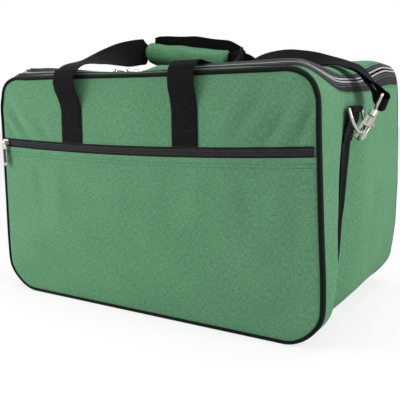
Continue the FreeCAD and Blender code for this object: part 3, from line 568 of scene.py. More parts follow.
def panel_grid(low, high, inset, y, dip, columns=121):
    """Settled panel: rows of points between the outline's sides, dipping by dip within a seam's reach."""
    z = panel_rows(low, high, inset)[:, None]
    even = np.linspace(-1, 1, columns)[None, :]
    share = 0.65 * even + 0.35 * np.sin(even * np.pi / 2)
    x = share * half_width(z, inset)
    z = np.broadcast_to(z, x.shape)
    gap = np.minimum(half_width(z, inset) - np.abs(x), np.minimum(z - inset, HEIGHT - inset - z))
    depth = y - np.sign(y) * dip * np.exp(-np.maximum(gap, 0) / SEAM_REACH)
    return settle(points_at(x, depth, z)), points_at(x, z) * MM


for place, y in (("front", PANEL_Y), ("rear", -PANEL_Y)):
    points, uv = panel_grid(PANEL_INSET, HEIGHT - PANEL_INSET, PANEL_INSET, y, PANEL_DIP)
    wall = piece(place + "_wall", [patch(points, uv=uv)], [canvas, taffeta], "bag",
                 [place + "_panel", place + "_foam", place + "_lining"])
    thicken(wall, PANEL_WALL, 1)

# %% Gusset
UNDER_TAPE, OVER_TAPE = -8.3, 6.0


def cut_rows(offset, last, count, first=None):
    """Depths of the rows and where the zip cuts each: dense where it comes down the corner, then level."""
    runs, depth = corner_run(offset, 30)
    before = np.array([]) if first is None else np.linspace(first, depth[0], 3)[:-1]
    after = np.linspace(depth[-1], last, count)[1:]
    cuts = np.concatenate([np.full(len(before), runs[0]), runs, np.full(len(after), runs[-1])])
    return np.concatenate([before, depth, after])[:, None], cuts[:, None]


depths, cuts = cut_rows(UNDER_TAPE, SHELL, 44, -SHELL)
runs = cuts + np.linspace(0, 1, 301) * (ROUND - 2 * cuts)
x, z = outline(runs)
around = patch(settle(points_at(x, depths, z)), uv=points_at(runs, depths) * MM)
strip_y = np.linspace(-SHELL, FRONT + ZIP_SETBACK + UNDER_TAPE, 4)[:, None]
strip = points_at(np.linspace(-(HALF - CORNER), HALF - CORNER, 90), strip_y, HEIGHT)
before_zip = patch(settle(strip), uv=strip[..., :2] * MM)
gusset = piece("gusset_wall", [around, before_zip], [canvas, taffeta], "bag",
               ["gusset", "gusset_foam", "gusset_lining"])
thicken(gusset, GUSSET_WALL, 1)

# %% [markdown]
# The lid has no hinge of its own: on the bag its cloth simply bends along the rear edge. Here the lid's
# cloth and the half of the zip that is sewn to it are only baked in place and ride on no body.


def bend_at_hinge(made):
    """Bake the object's placement into its points; the cloth is not blended between bag and lid."""
    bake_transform(made)


depths, cuts = cut_rows(OVER_TAPE, LID_BACK, 56)
runs = cuts * np.linspace(-1, 1, 141)
x, z = outline(runs)
lid = piece("lid_wall", [patch(settle(points_at(x, depths, z)), uv=points_at(runs, depths) * MM)],
            [canvas, taffeta], None, ["lid_panel", "lid_foam", "lid_lining"])
thicken(lid, LID_WALL, 1)
bend_at_hinge(lid)

# %% [markdown]
# ## Carrying a profile along a path
#
# Piping, webs and straps are one profile carried along a path, and stitches and zip teeth are one small
# bean set down again and again. These helpers do that for whole arrays at once. A path is smoothed through
# a few spots, then cut into even steps, so that neither the weave nor the stitches bunch up.

# %% Paths and profiles
def unit(vectors):
    """Vectors divided by their own lengths."""
    return vectors / np.linalg.norm(vectors, axis=-1, keepdims=True)


def runs_of(points):
    """Running length along a path of points."""
    return np.concatenate([[0.0], np.cumsum(np.linalg.norm(np.diff(points, axis=0), axis=1))])


def curve(spots, count):
    """Smooth path through spots: cubic pieces whose slopes come from each spot's neighbours."""
    spots = np.asarray(spots, float)
    run = runs_of(spots[:, :3])
    slope = np.gradient(spots, run, axis=0)
    at = np.linspace(0, run[-1], count)
    k = np.clip(np.searchsorted(run, at, side="right") - 1, 0, len(spots) - 2)
    h = (run[k + 1] - run[k])[:, None]
    t = (at[:, None] - run[k][:, None]) / h
    start, end = (2 * t - 3) * t * t + 1, (3 - 2 * t) * t * t
    leave, arrive = ((t - 2) * t + 1) * t * h, (t - 1) * t * t * h
    return start * spots[k] + leave * slope[k] + end * spots[k + 1] + arrive * slope[k + 1]


def evenly(values, step):
    """Rows at equal steps along a path; the first three columns are its points, any others go along."""
    run = runs_of(values[:, :3])
    at = np.linspace(0, run[-1], int(round(run[-1] / step)) + 1)
    return np.stack([np.interp(at, run, column) for column in values.T], -1)


def tube(path, radius, hint, sides=12, loop=False):
    """Round profile along a path: circles square to the path, turned by a hint direction."""
    ahead = np.roll(path, -1, axis=0) - np.roll(path, 1, axis=0) if loop else np.gradient(path, axis=0)
    ahead = unit(ahead)
    across = unit(np.cross(hint, ahead))
    up = np.cross(ahead, across)
    turn = np.linspace(0, 2 * np.pi, sides, endpoint=False)[None, :, None]
    return path[:, None] + radius * (np.cos(turn) * across[:, None] + np.sin(turn) * up[:, None])


# Profile of a web: places across it as shares of half its width, lifted by shares of half its thickness.
WEB_HALF = np.array([-1, -0.985, -0.93, -0.7, -0.35, 0, 0.35, 0.7, 0.93, 0.985])
WEB_LIFT = np.array([0, 0.75, 1, 0.92, 1, 0.95, 1, 0.92, 1, 0.75])
WEB_U = np.concatenate([WEB_HALF, -WEB_HALF])[None, :, None]
WEB_V = np.concatenate([WEB_LIFT, -WEB_LIFT])[None, :, None]


def ribbon(path, across, normal, width, thickness):
    """Web profile along a path: a flat band with rounded selvedges and faint lengthwise ribs."""
    half = np.broadcast_to(np.asarray(width, float) / 2, len(path))[:, None, None]
    deep = np.broadcast_to(np.asarray(thickness, float) / 2, len(path))[:, None, None]
    return path[:, None] + WEB_U * half * across[:, None] + WEB_V * deep * normal[:, None]


# A bean is four rings of six points: each ring's place along it and its size.
BEAN_RINGS, BEAN_SIDES = np.array([[-1, 0.4], [-0.6, 1], [0.6, 1], [1, 0.4]]), 6
bean_turn = np.arange(BEAN_SIDES) * np.pi / 3
BEAN = np.stack([np.repeat(BEAN_RINGS[:, 0], BEAN_SIDES),
                 np.outer(BEAN_RINGS[:, 1], np.cos(bean_turn)).ravel(),
                 np.outer(BEAN_RINGS[:, 1], np.sin(bean_turn)).ravel()], -1)
ring_at, side_at = np.meshgrid(np.arange(3) * BEAN_SIDES, np.arange(BEAN_SIDES), indexing="ij")
side_next = (side_at + 1) % BEAN_SIDES
BEAN_QUADS = np.concatenate([
    np.stack([ring_at + BEAN_SIDES + side_at, ring_at + BEAN_SIDES + side_next, ring_at + side_next,
              ring_at + side_at], -1).reshape(-1, 4),
    [[0, 1, 2, 3], [3, 4, 5, 0], [21, 20, 19, 18], [18, 23, 22, 21]]])


def beans(centres, along, across, up, size):
    """A bean at each centre; size is its half length along and its two half widths, in millimetres."""
    shape = BEAN * np.asarray(size)
    axes = np.stack([along, across, up], 1)
    points = centres[:, None] + np.einsum("pk,nkj->npj", shape, axes)
    quads = BEAN_QUADS[None] + (np.arange(len(centres)) * len(BEAN))[:, None, None]
    corners = np.tile(shape[BEAN_QUADS][..., :2] * MM, (len(centres), 1, 1))
    return points.reshape(-1, 3), quads.reshape(-1, 4), corners


def stitches(path, normal, step=4.6, size=(1.7, 0.5, 0.42)):
    """Stitches along a path on a surface: beans that lie along it, on its normal."""
    rows = evenly(np.concatenate([path, np.broadcast_to(normal, path.shape)], 1), step)
    centres, up = rows[:, :3], unit(rows[:, 3:])
    along = unit(np.gradient(centres, axis=0))
    return beans(centres, along, np.cross(up, along), up, size)


X_WAY, Y_WAY, Z_WAY = np.eye(3)
print("bean:", len(BEAN), "points,", len(BEAN_QUADS), "faces")

# %% [markdown]
# ## Piping
#
# A cord in a bias sleeve is sewn into the seam all round the front and the rear panel. It is what keeps the
# bag's edge crisp: a round dark line that follows the settled outline.

# %% Piping and its seam
PIPING_RADIUS = 2.7
around = np.linspace(0, ROUND, 520, endpoint=False)
x, z = outline(around, PIPING_RADIUS)
for place, y in (("front", FRONT + PIPING_RADIUS), ("rear", REAR - PIPING_RADIUS)):
    cord = tube(settle(points_at(x, y, z)), PIPING_RADIUS, Y_WAY, 14, True)
    piece(place + "_piping_cord", [patch(cord, True, True)], [bias_tape], "bag",
          [place + "_piping"])

# %% [markdown]
# ## Front pocket
#
# The pocket is one sheet of canvas over the lower front, with a turned hem at its top, sewn down by two
# rows of stitches. The hem is thicker than the sheet, so it stands a little proud, and each row of stitches
# pulls a groove into it. The zip above it runs the whole width and sags in the middle.

# %% Pocket sheet and hem
POCKET_TOP, POCKET_Y = 230.7, FRONT - 0.1
HEM_LOW, HEM_ROWS = 214.0, (223.4, 218.6)
POCKET_DIP, HEM_PROUD, GROOVE, FOLD_EDGE = 2.4, 0.9, 0.45, 0.5
points, uv = panel_grid(PANEL_INSET, HEM_LOW, PANEL_INSET, POCKET_Y, POCKET_DIP)
hem_z = np.concatenate([np.linspace(HEM_LOW, 230, 20)[1:], [POCKET_TOP]])[:, None]
hem_x = uv[-1:, :, 0] / MM
hem_gap = HALF - PANEL_INSET - np.abs(hem_x)
groove = sum(bell(hem_z, row, 1.1) for row in HEM_ROWS)
proud = HEM_PROUD * ramp(hem_z, 215, 218) - GROOVE * groove - FOLD_EDGE * ramp(hem_z, 229, POCKET_TOP)
hem = points_at(hem_x, POCKET_Y + POCKET_DIP * np.exp(-hem_gap / SEAM_REACH) - proud, hem_z)
sheet = patch(np.concatenate([points, settle(hem)]), uv=np.concatenate([uv, hem[..., [0, 2]] * MM]))
pocket = piece("pocket_sheet", [sheet], [canvas], "bag", ["pocket_panel"])
thicken(pocket, 1.1)
seam_x = np.linspace(-255, 255, 300)
rows = [stitches(settle(points_at(seam_x, POCKET_Y - 0.35, row)), -Y_WAY) for row in HEM_ROWS]
piece("pocket_hem_stitches", rows, [thread_green], "bag")

# %% Pocket zip
POCKET_ZIP, TAPE_HALF, ZIP_REACH = 237.0, 6.3, 257.5
CORD_OFF, CORD_RADIUS = 3.2, 0.55
TOOTH_OFF, TOOTH_PITCH, POCKET_TOOTH = 1.15, 1.9, (1.05, 0.7, 0.6)
across = np.array([-1, -0.93, -0.85, -0.6, -0.4, -0.3, 0.3, 0.4, 0.6, 0.85, 0.93, 1])[:, None]
lift = np.array([-0.3, 0.25, 0.1, 0.1, 0.1, 0.5, 0.5, 0.1, 0.1, 0.1, 0.25, -0.3])[:, None]
tape_x = np.linspace(-ZIP_REACH, ZIP_REACH, 160)
tape = settle(points_at(tape_x, FRONT + 0.5 - lift, POCKET_ZIP + TAPE_HALF * across))
band = piece("pocket_zip_band", [patch(tape)], [pocket_cloth], "bag", ["pocket_zip_tapes"])
thicken(band, 0.8)
cords, rows = [], []
for side in (-1, 1):
    line = settle(points_at(tape_x, FRONT + 0.3, POCKET_ZIP + side * CORD_OFF))
    cords.append(patch(tube(line, CORD_RADIUS, Y_WAY, 8), True))
    spots = evenly(settle(points_at(tape_x, FRONT - 0.25, POCKET_ZIP + side * TOOTH_OFF)), TOOTH_PITCH)
    ways = [np.broadcast_to(way, spots.shape) for way in (Z_WAY, X_WAY, -Y_WAY)]
    rows.append(beans(spots, *ways, POCKET_TOOTH))
piece("pocket_zip_cords", cords, [zip_cord], "bag", closed=True)
piece("pocket_zip_teeth", rows, [dark_teeth], "bag", ["pocket_zip_coils"])

# %% [markdown]
# ## Main zip
#
# The zip runs across the top just behind the front piping, comes down round both corners and goes back
# along the sides. Its lower tape is sewn to the bag and its upper tape to the lid. The lower half rides on
# the bag; the upper half is baked in place and rides on no body.

# %% Zip tapes and teeth of the lid
TAPE_EDGE, TAPE_INNER, SEAM = 8.7, 2.3, 10.3
MAIN_PITCH, MAIN_TOOTH, MAIN_TOOTH_OFF = 3.2, (1.5, 0.75, 0.75), 1.6
RIB_STEP, RIB_SIZE = 3.0, (1.0, 0.5, 0.45)
# Lines of the tape from its outer to its inner edge: offset, lift, and its share of the widening.
TAPE_LINES = np.array([(TAPE_EDGE, 0.1, 1), (8.2, 0.5, 1), (6.0, 0.3, 0.5), (4.0, 0.1, 0), (3.2, 0.2, 0),
                       (TAPE_INNER, 0.2, 0)])
for half, side, body, corner, beside in (("lower", -1, "bag", 4.5, 4.5), ("upper", 1, None, 6.5, -2.2)):
    tape = np.stack([zip_points(side * off, lift, side * share * corner, side * share * beside)
                     for off, lift, share in TAPE_LINES])
    band = piece("main_zip_band_" + half, [patch(tape)], [zip_cloth], body,
                 ["main_zip_tape_" + half])
    thicken(band, 0.8)
    centre, above = (zip_points(side * MAIN_TOOTH_OFF, lift) for lift in (0.4, 1.4))
    line = evenly(np.concatenate([centre, above - centre], 1), MAIN_PITCH)
    up = unit(line[:, 3:])
    along = unit(np.gradient(line[:, :3], axis=0))
    row = beans(line[:, :3], np.cross(up, along), along, up, MAIN_TOOTH)
    coil = piece("main_zip_teeth_" + half, [row], [teeth], body, ["main_zip_coil_" + half])
    # Light grey rows along the tape: a painted highlight for the glints on its ridges.
    ribs = []
    for off, share in ((4.3, 0.1), (6.2, 0.55)):
        row, above = (zip_points(side * off, lift, side * share * corner) for lift in (0.5, 1.5))
        ribs.append(stitches(row, above - row, RIB_STEP, RIB_SIZE))
    weave = piece("main_zip_ribs_" + half, ribs, [rib_highlight_thread], body)
    row, above = (zip_points(side * SEAM, lift, side * corner, side * beside) for lift in (0.25, 1.25))
    seam = piece("main_zip_stitches_" + half, [stitches(row, above - row)], [thread_green], body)
    if body is None:
        for made in (band, coil, weave, seam):
            bend_at_hinge(made)

# %% [markdown]
# ## Handles
#
# Each handle is one web: sewn to the panel by a box with a cross in it, free above that, then bent over the
# edge and turned on its side into the wrap. The box stitches ride on the bag; the webs and grips are baked
# in place and ride on no body.

# %% Handle webs on the panels
HANDLE_X = (-113.5, 83.5)
WEB_WIDTH, WEB = 40.0, 1.6
LEG_BULGES, BEND_OUT = (12.0, 6.5), 0.55
# Heights along a leg, each with its share of the bulge.
LEG_STATIONS = np.array([(243.8, 0), (270, 0), (288, 0.04), (300, 0.36), (312, 0.82), (322, 1), (331, 0.9),
                         (338.6, BEND_OUT)])


def leg_line(bulge):
    """Middle line of a handle leg: on the panel while it is sewn down, then bowed forward by the bulge."""
    z, share = LEG_STATIONS.T
    y = PANEL_Y - 0.8 - 1.8 * ramp(z, 288, 318) - bulge * share
    return curve(np.stack([0 * z, y, z], -1), 80)


def placed(points, x, side):
    """Points moved to a handle leg's x; side -1 keeps them at the front and 1 mirrors them to the rear."""
    return points * np.array([1, -side, 1]) + np.array([x, 0, 0])


BOX_LOW, BOX_HIGH, BOX_HALF = 262.0, 294.0, 16.5
BOX_STEP, BOX_STITCH = 3.6, (1.4, 0.45, 0.35)
box_spots = np.array([(-1, 0), (1, 0), (1, 1), (-1, 1), (-1, 0), (1, 1), (1, 0), (-1, 1)])
for place, side, legs in (("front", -1, "front_legs"), ("rear", 1, "rear_legs")):
    webs, seams = [], []
    for x, bulge in zip(HANDLE_X, LEG_BULGES):
        path = placed(leg_line(bulge), x, side)
        across, normal = (np.broadcast_to(way, path.shape) for way in (X_WAY, Y_WAY))
        webs.append(patch(settle(ribbon(path, across, normal, WEB_WIDTH, WEB)), True))
        for a, b in zip(box_spots[:-1], box_spots[1:]):
            spot = a + (b - a) * np.linspace(0, 1, 12)[:, None]
            height = BOX_LOW + spot[:, 1] * (BOX_HIGH - BOX_LOW)
            row = placed(points_at(spot[:, 0] * BOX_HALF, PANEL_Y - WEB - 0.15, height), x, side)
            seams.append(stitches(settle(row), Y_WAY * side, BOX_STEP, BOX_STITCH))
    made = piece(place + "_handle_webs", webs, [webbing], None,
                 [place + "_handle_anchors", place + "_handle_legs"], closed=True)
    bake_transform(made)
    piece(place + "_handle_stitches", seams, [thread_black], "bag")

# %% Handle grips
# Stations of a grip from its bend to the wrap, as shares of the way back, up and inward, of a quarter turn,
# and of the fold that halves the web's width.
LEFT_RISER = np.array([
    (0.0, 0.0, 0.0, 0.0, 0.0), (0.08, 0.24, 0.0, 0.0, 0.0), (0.35, 0.47, 0.05, 0.12, 0.0),
    (0.62, 0.72, 0.18, 0.5, 0.0), (0.84, 0.9, 0.4, 0.9, 0.0), (0.95, 0.98, 0.62, 1.0, 0.0),
    (0.98, 0.99, 0.8, 1.0, 0.12), (0.995, 1.0, 0.93, 1.0, 0.85), (1.0, 1.0, 1.0, 1.0, 1.0)])
RIGHT_RISER = np.array([
    (0.0, 0.0, 0.0, 0.0, 0.0), (0.05, 0.5, 0.0, 0.0, 0.0), (0.18, 0.4, 0.0, 0.0, 0.0),
    (0.4, 0.1, 0.0, 0.0, 0.0), (0.62, 0.1, -0.04, 0.1, 0.0), (0.8, 0.55, -0.1, 0.5, 0.2),
    (0.93, 1.0, -0.15, 1.0, 0.35), (0.99, 1.0, 0.5, 1.0, 0.8), (1.0, 1.0, 1.0, 1.0, 1.0)])
REAR_RISER = np.array([
    (0.0, 0.0, 0.0, 0.0, 0.0), (0.05, 0.3, 0.0, 0.0, 0.0), (0.2, 0.15, 0.0, 0.0, 0.0),
    (0.5, 0.02, 0.0, 0.0, 0.0), (0.75, 0.1, 0.0, 0.0, 0.0), (0.9, 0.45, 0.05, 0.3, 0.4),
    (0.97, 0.85, 0.3, 0.8, 0.8), (0.995, 1.0, 0.6, 1.0, 0.95), (1.0, 1.0, 1.0, 1.0, 1.0)])
HANDLE_CENTRE, HANDLE_SPREAD, WRAP_LENGTH, WRAP_Z, WRAP_RISE = -15.0, 98.5, 146.0, 361.0, 20.0
BEND_Y, INNER_Y, GRIP_LOW, FOLDED = PANEL_Y - 2.6, -2.2, 338.2, 20.0


def riser(side, shares, bulge, gather):
    """Route of one half of a grip from its bend to the wrap, with the twist and the fold as last columns.

    gather is how far the web is folded together already on its way, which grows with the fourth power.
    """
    back, up, inward, twist, fold = shares.T
    fold = np.maximum(fold, gather * back ** 4)
    end_z = WRAP_Z - side * WRAP_RISE / 2
    x = HANDLE_CENTRE + side * (HANDLE_SPREAD + inward * (WRAP_LENGTH / 2 - HANDLE_SPREAD))
    start_y = BEND_Y - bulge * BEND_OUT
    y = start_y + back * (INNER_Y - start_y)
    return np.stack([x, y, GRIP_LOW + up * (end_z - GRIP_LOW), twist, fold], -1)


share = np.array([-0.4, 0.0, 0.4])
inside = points_at(HANDLE_CENTRE + share * WRAP_LENGTH, INNER_Y, WRAP_Z - share * WRAP_RISE, 1, 1)
for place, side, legs, body, table, gather in (("front", -1, "front_legs", "front_grip", RIGHT_RISER, 0.0),
                                               ("rear", 1, "rear_legs", "rear_grip", REAR_RISER, 0.9)):
    left, right = riser(-1, LEFT_RISER, LEG_BULGES[0], gather), riser(1, table, LEG_BULGES[1], gather)
    route = curve(np.concatenate([left, inside, right[::-1]]), 320)
    path, twist, fold = route[:, :3], route[:, 3], np.clip(route[:, 4], 0, 1)
    along = unit(np.gradient(path, axis=0))
    level = unit(np.cross(Z_WAY, along))
    turn = (twist * np.pi / 2)[:, None]
    across = level * np.cos(turn) + np.cross(along, level) * np.sin(turn)
    wide, thick = WEB_WIDTH + fold * (FOLDED - WEB_WIDTH), WEB * (1 + fold)
    grip = ribbon(path, across, np.cross(along, across), wide, thick)
    made = piece(place + "_grip_web", [patch(placed(grip, 0, side), True)], [webbing], None,
                 [place + "_handle_grip"], closed=True)
    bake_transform(made)

# %% [markdown]
# ## Padded wrap
#
# A padded sleeve closes round both webs and is held by a strip of hook-and-loop that stands up along its
# top. The sleeve is a C-shaped profile carried along its axis, then swollen by a short cloth simulation:
# the inside and the ends are held, and the outside fills like a small cushion.

# %% Wrap
WRAP_RADIUS = 13.6
tilt = np.arctan2(WRAP_RISE, WRAP_LENGTH)
WRAP_ALONG = np.array([np.cos(tilt), 0, -np.sin(tilt)])
WRAP_UP = np.array([np.sin(tilt), 0, np.cos(tilt)])


def on_wrap(s, y, h):
    """Points at a length s along the wrap's axis, a depth y and a height h above the axis."""
    s, y, h = (v[..., None] for v in np.broadcast_arrays(s, y, h))
    return np.array([HANDLE_CENTRE, 0, WRAP_Z]) + s * WRAP_ALONG + y * Y_WAY + h * WRAP_UP


turn = np.radians(np.linspace(97, 443, 73))
inner = curve([(1.6, 12.6, 0), (1.7, 11.4, 0), (4.1, 10.9, 0), (4.5, 9.6, 0), (4.5, 0, 0), (4.5, -9.6, 0),
               (3.4, -10.8, 0), (0, -11.0, 0)], 30)[:, :2]
inner = np.concatenate([inner, (inner * np.array([-1, 1]))[-2::-1]])
profile = np.concatenate([np.stack([np.cos(turn), np.sin(turn)], -1) * WRAP_RADIUS, inner])
outer_count = len(turn)
s = np.linspace(-1, 1, 70)
s = (0.8 * s + 0.2 * np.sin(s * np.pi / 2))[:, None] * WRAP_LENGTH / 2
end_gap = WRAP_LENGTH / 2 - np.abs(s)
is_outer = (np.arange(len(profile)) < outer_count)[None, :]
# The ends are rounded, and a bound edge stands up before a sewn groove.
shrink = 0.12 * np.exp(-end_gap / 1.6) - 0.05 * bell(end_gap, 5, 2.5) + 0.05 * bell(end_gap, 9, 2)
angle = np.arctan2(profile[:, 1], profile[:, 0])[None, :]
slack = (0.5 * np.sin(s / 13 + 2 * np.sin(angle)) + 0.4 * np.sin(s / 7 - 1.7 * angle)) * (end_gap > 8)
size = 1 + is_outer * (slack / WRAP_RADIUS - shrink)
sleeve = on_wrap(s, profile[:, 0] * size, profile[:, 1] * size)
wrap = piece("wrap_pad", [patch(sleeve, True)], [canvas], "rear_grip", ["handle_wrap"], closed=True)
held = np.nonzero((~is_outer | (end_gap < 7)).ravel())[0]
SWELL_STEPS, SWELL_PRESSURE, SWELL_CAP = 20, 4.0, 1.6


def swell(made, held, pressure, cap):
    """Cloth simulation in place: held points stay, the rest swell under pressure by no more than cap."""
    group = made.vertex_groups.new(name="held")
    group.add(held.tolist(), 1.0, "REPLACE")
    cloth = made.modifiers.new("cloth", "CLOTH")
    cloth.settings.vertex_group_mass = group.name
    cloth.settings.quality = 6
    cloth.settings.mass = 0.15
    cloth.settings.use_pressure = True
    cloth.settings.uniform_pressure_force = pressure
    cloth.settings.effector_weights.gravity = 0
    rest = np.empty(len(made.data.vertices) * 3)
    made.data.vertices.foreach_get("co", rest)
    scene = bpy.context.scene
    for step in range(1, SWELL_STEPS + 1):
        scene.frame_set(step)
    swollen = np.empty_like(rest)
    ready = made.evaluated_get(bpy.context.evaluated_depsgraph_get())
    ready.data.vertices.foreach_get("co", swollen)
    move = (swollen - rest).reshape(-1, 3)
    size = np.linalg.norm(move, axis=1, keepdims=True)
    move *= np.minimum(1, cap * MM / np.maximum(size, 1e-9))
    made.modifiers.remove(cloth)
    made.data.vertices.foreach_set("co", rest + move.ravel())
    made.data.update()
    scene.frame_set(1)
    print(made.name, "swelled by up to", round(float(size.max()) / MM, 2), "mm")


swell(wrap, held, SWELL_PRESSURE, SWELL_CAP)

# %% Flap of the wrap
FLAP_LOW, FLAP_START, FLAP_END, FLAP_HALF = 12.0, -64.0, 99.0, 1.1
s = np.linspace(FLAP_START, FLAP_END, 90)[:, None]
sway = 0.9 * np.sin(s / 23) * ramp(np.abs(s - 16), 0, 60)
ring = np.array([(-1, 0), (-1, 0.5), (-1, 0.94), (-0.6, 1), (0.6, 1), (1, 0.94), (1, 0.5), (1, 0)])
tall = np.interp(s, (-58, -20, 10, 60, 99), (12.5, 15.5, 17.5, 16, 14)) + 0.4 * np.sin(s / 9)
edge = 1 - 0.25 * ramp(s, 90, 99) - 0.15 * (1 - ramp(s, -64, -56))
droop = 8 * ramp(s, 66, 106)
h = FLAP_LOW + ring[:, 1] * tall * edge - droop
strip = on_wrap(s, ring[:, 0] * FLAP_HALF + sway * ring[:, 1], h)
piece("wrap_flap_tape", [patch(strip, True)], [pile], "flap", ["wrap_flap"], closed=True)

# %% [markdown]
# ## Side webs
#
# A web runs up each side from under the bottom corner, turns round the bar of the D-ring and comes down
# again as a short tail, sewn through. Low down it lies in the fold that it pulls into the wall; at the ring
# it stays where the ring is, so there the settling fades out.

# %% Side webs and their seams
SIDE_WEB_WIDTH, BAR_X, BAR_Z, BAR_TURN = 38.0, 269.45, 281.0, 3.35
WEB_OUT, WEB_CLEAR, TAIL_OUT, SEWN_OUT, ON_WEB = 2.3, 1.2, 267.7, 268.6, 0.9
SIDE_STEP, SIDE_STITCH = 3.8, (1.45, 0.45, 0.35)


def web_out(z):
    """Distance of the web from the bag's middle: clear of the drawn-in canvas low down, close to it above."""
    return HALF + WEB_OUT - WEB_CLEAR * ramp(z, 190, 245)


angle = np.radians(np.linspace(-64, 0, 14))
bend = HALF - CORNER + (CORNER + WEB_OUT) * np.cos(angle), CORNER + (CORNER + WEB_OUT) * np.sin(angle)
angle = np.radians(np.linspace(180, -100, 22))
loop = BAR_X + BAR_TURN * np.cos(angle), BAR_Z + BAR_TURN * np.sin(angle)
upright = np.linspace(56, 279, 30)
web_x = np.concatenate([bend[0], web_out(upright), loop[0], [267.85, 267.75], np.full(12, TAIL_OUT)])
web_z = np.concatenate([bend[1], upright, loop[1], [276.4, 274], np.linspace(271, 241, 12)])
web_line = curve(np.stack([web_x, web_course(web_z), web_z], -1), 170)


def hung(points):
    """Settled place of points on the side web, unmoved near the ring."""
    hold = ramp(points[..., 2:], 250, 272)
    return settle(points) * (1 - hold) + points * hold


def half_round(points, side):
    """The right side's points, or for the left side the same turned half round about the upright axis."""
    return points if side > 0 else points * np.array([-1, -1, 1])


normal = np.cross(unit(np.gradient(web_line, axis=0)), Y_WAY)
web_grid = ribbon(web_line, np.broadcast_to(Y_WAY, web_line.shape), normal, SIDE_WEB_WIDTH, WEB)
seam_y = np.linspace(-16, 16, 14) - ANCHOR_Y
sewn = [points_at(SEWN_OUT, seam_y, z) for z in (246, 250, 268, 272)]
sewn += [points_at(SEWN_OUT, y - ANCHOR_Y, np.linspace(246, 272, 12)) for y in (-16, 16)]
edge_z = np.linspace(58, 240, 90)
sewn += [points_at(web_out(edge_z) + ON_WEB, web_course(edge_z) + y, edge_z) for y in (-16.5, 16.5)]
for place, side in (("right", 1), ("left", -1)):
    piece("side_web_" + place, [patch(hung(half_round(web_grid, side)), True)], [webbing], "bag",
          ["anchor_web_" + place], closed=True)
    seams = [stitches(hung(half_round(row, side)), X_WAY * side, SIDE_STEP, SIDE_STITCH) for row in sewn]
    piece("side_web_stitches_" + place, seams, [thread_black], "bag")

# %% [markdown]
# ## Shoulder strap
#
# The strap's end is doubled: it goes round the far bar of the swivel eye and back up on itself. Each end
# is two pieces, a foot round the eye and a head towards the lid, both baked in place and riding on no body.
# The strap itself lies across the lid with a hump of slack on the right, and rides on the lid.

# %% Strap ends
STRAP_WIDTH, STRAP = 30.0, 1.7
EYE_BAR = np.array([290.97, -30.32, 289.35])
BAR_WAY = unit(np.array([0.3955, -0.7819, 0.4820]))
HOOK_WAY = unit(np.array([0.2593, 0.5984, 0.7580]))
LEAVE = unit(HOOK_WAY + 2 * unit(np.cross(BAR_WAY, HOOK_WAY)))
ASIDE = np.cross(BAR_WAY, LEAVE)
JOIN, ARRIVE = np.array([252.0, -17.0, 332.6]), unit(np.array([-1.0, 0.0, 0.45]))
EDGE_WAY, STRAP_ACROSS = np.array([-0.30, 0.95, 0.0]), np.array([0.0, 0.988, 0.156])
LOOP_RADIUS, LAYER_GAP, LOOP_GAP = 5.5, 0.95, 2.9
# The strap's end leaves the loop a little above its middle, and the foot is the first 20 of its steps.
LEAVE_SHARE, SPLIT = 0.12, 20
LOOP_CENTRE = EYE_BAR - 2.5 * LEAVE - 2.3 * ASIDE
first = LOOP_CENTRE + LEAVE * LOOP_RADIUS
span = np.linalg.norm(JOIN - first)
t = np.linspace(LEAVE_SHARE, 1, 45)[:, None]
rise = ((2 * t - 3) * t * t + 1) * first + ((t - 2) * t + 1) * t * span * LEAVE
rise = rise + (3 - 2 * t) * t * t * JOIN + (t - 1) * t * t * span * ARRIVE
ahead = unit(np.gradient(rise, axis=0))
turned = ramp(t, 0, 0.45)
wide = BAR_WAY * -(1 - turned) + turned * ((1 - t) * EDGE_WAY + t * STRAP_ACROSS)
wide = unit(wide - ahead * np.einsum("ij,ij->i", wide, ahead)[:, None])
lift = np.cross(ahead, wide)
if np.dot(lift[0], ASIDE) < 0:
    lift = -lift
layer = LAYER_GAP + LOOP_GAP * (1 - ramp(t, 0.1, 0.8))
upper, lower = rise + lift * layer, rise - lift * layer
angle = np.radians(np.linspace(62, 298, 20))[:, None]
round_bar = LOOP_CENTRE + LOOP_RADIUS * (np.cos(angle) * LEAVE + np.sin(angle) * ASIDE)
foot = np.concatenate([upper[SPLIT::-2], round_bar, lower[:SPLIT + 1:2]])
foot_wide = np.concatenate([wide[SPLIT::-2], np.broadcast_to(-BAR_WAY, round_bar.shape), wide[:SPLIT + 1:2]])
foot = curve(np.concatenate([foot, foot_wide], 1), 110)
foot_line, foot_wide = foot[:, :3], unit(foot[:, 3:])
foot_up = np.cross(unit(np.gradient(foot_line, axis=0)), foot_wide)
foot_grid = ribbon(foot_line, foot_wide, unit(foot_up), STRAP_WIDTH, STRAP)
head_grids = [ribbon(line[SPLIT:], wide[SPLIT:], lift[SPLIT:], STRAP_WIDTH, STRAP) for line in (upper, lower)]
for place, side in (("right", 1), ("left", -1)):
    foot_piece = piece("strap_foot_" + place, [patch(half_round(foot_grid, side), True)], [shaded_strap_web], None,
                       ["strap_end_" + place], closed=True)
    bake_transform(foot_piece)
    heads = [patch(half_round(grid, side), True) for grid in head_grids]
    head_piece = piece("strap_head_" + place, heads, [shaded_strap_web], None, closed=True)
    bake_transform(head_piece)

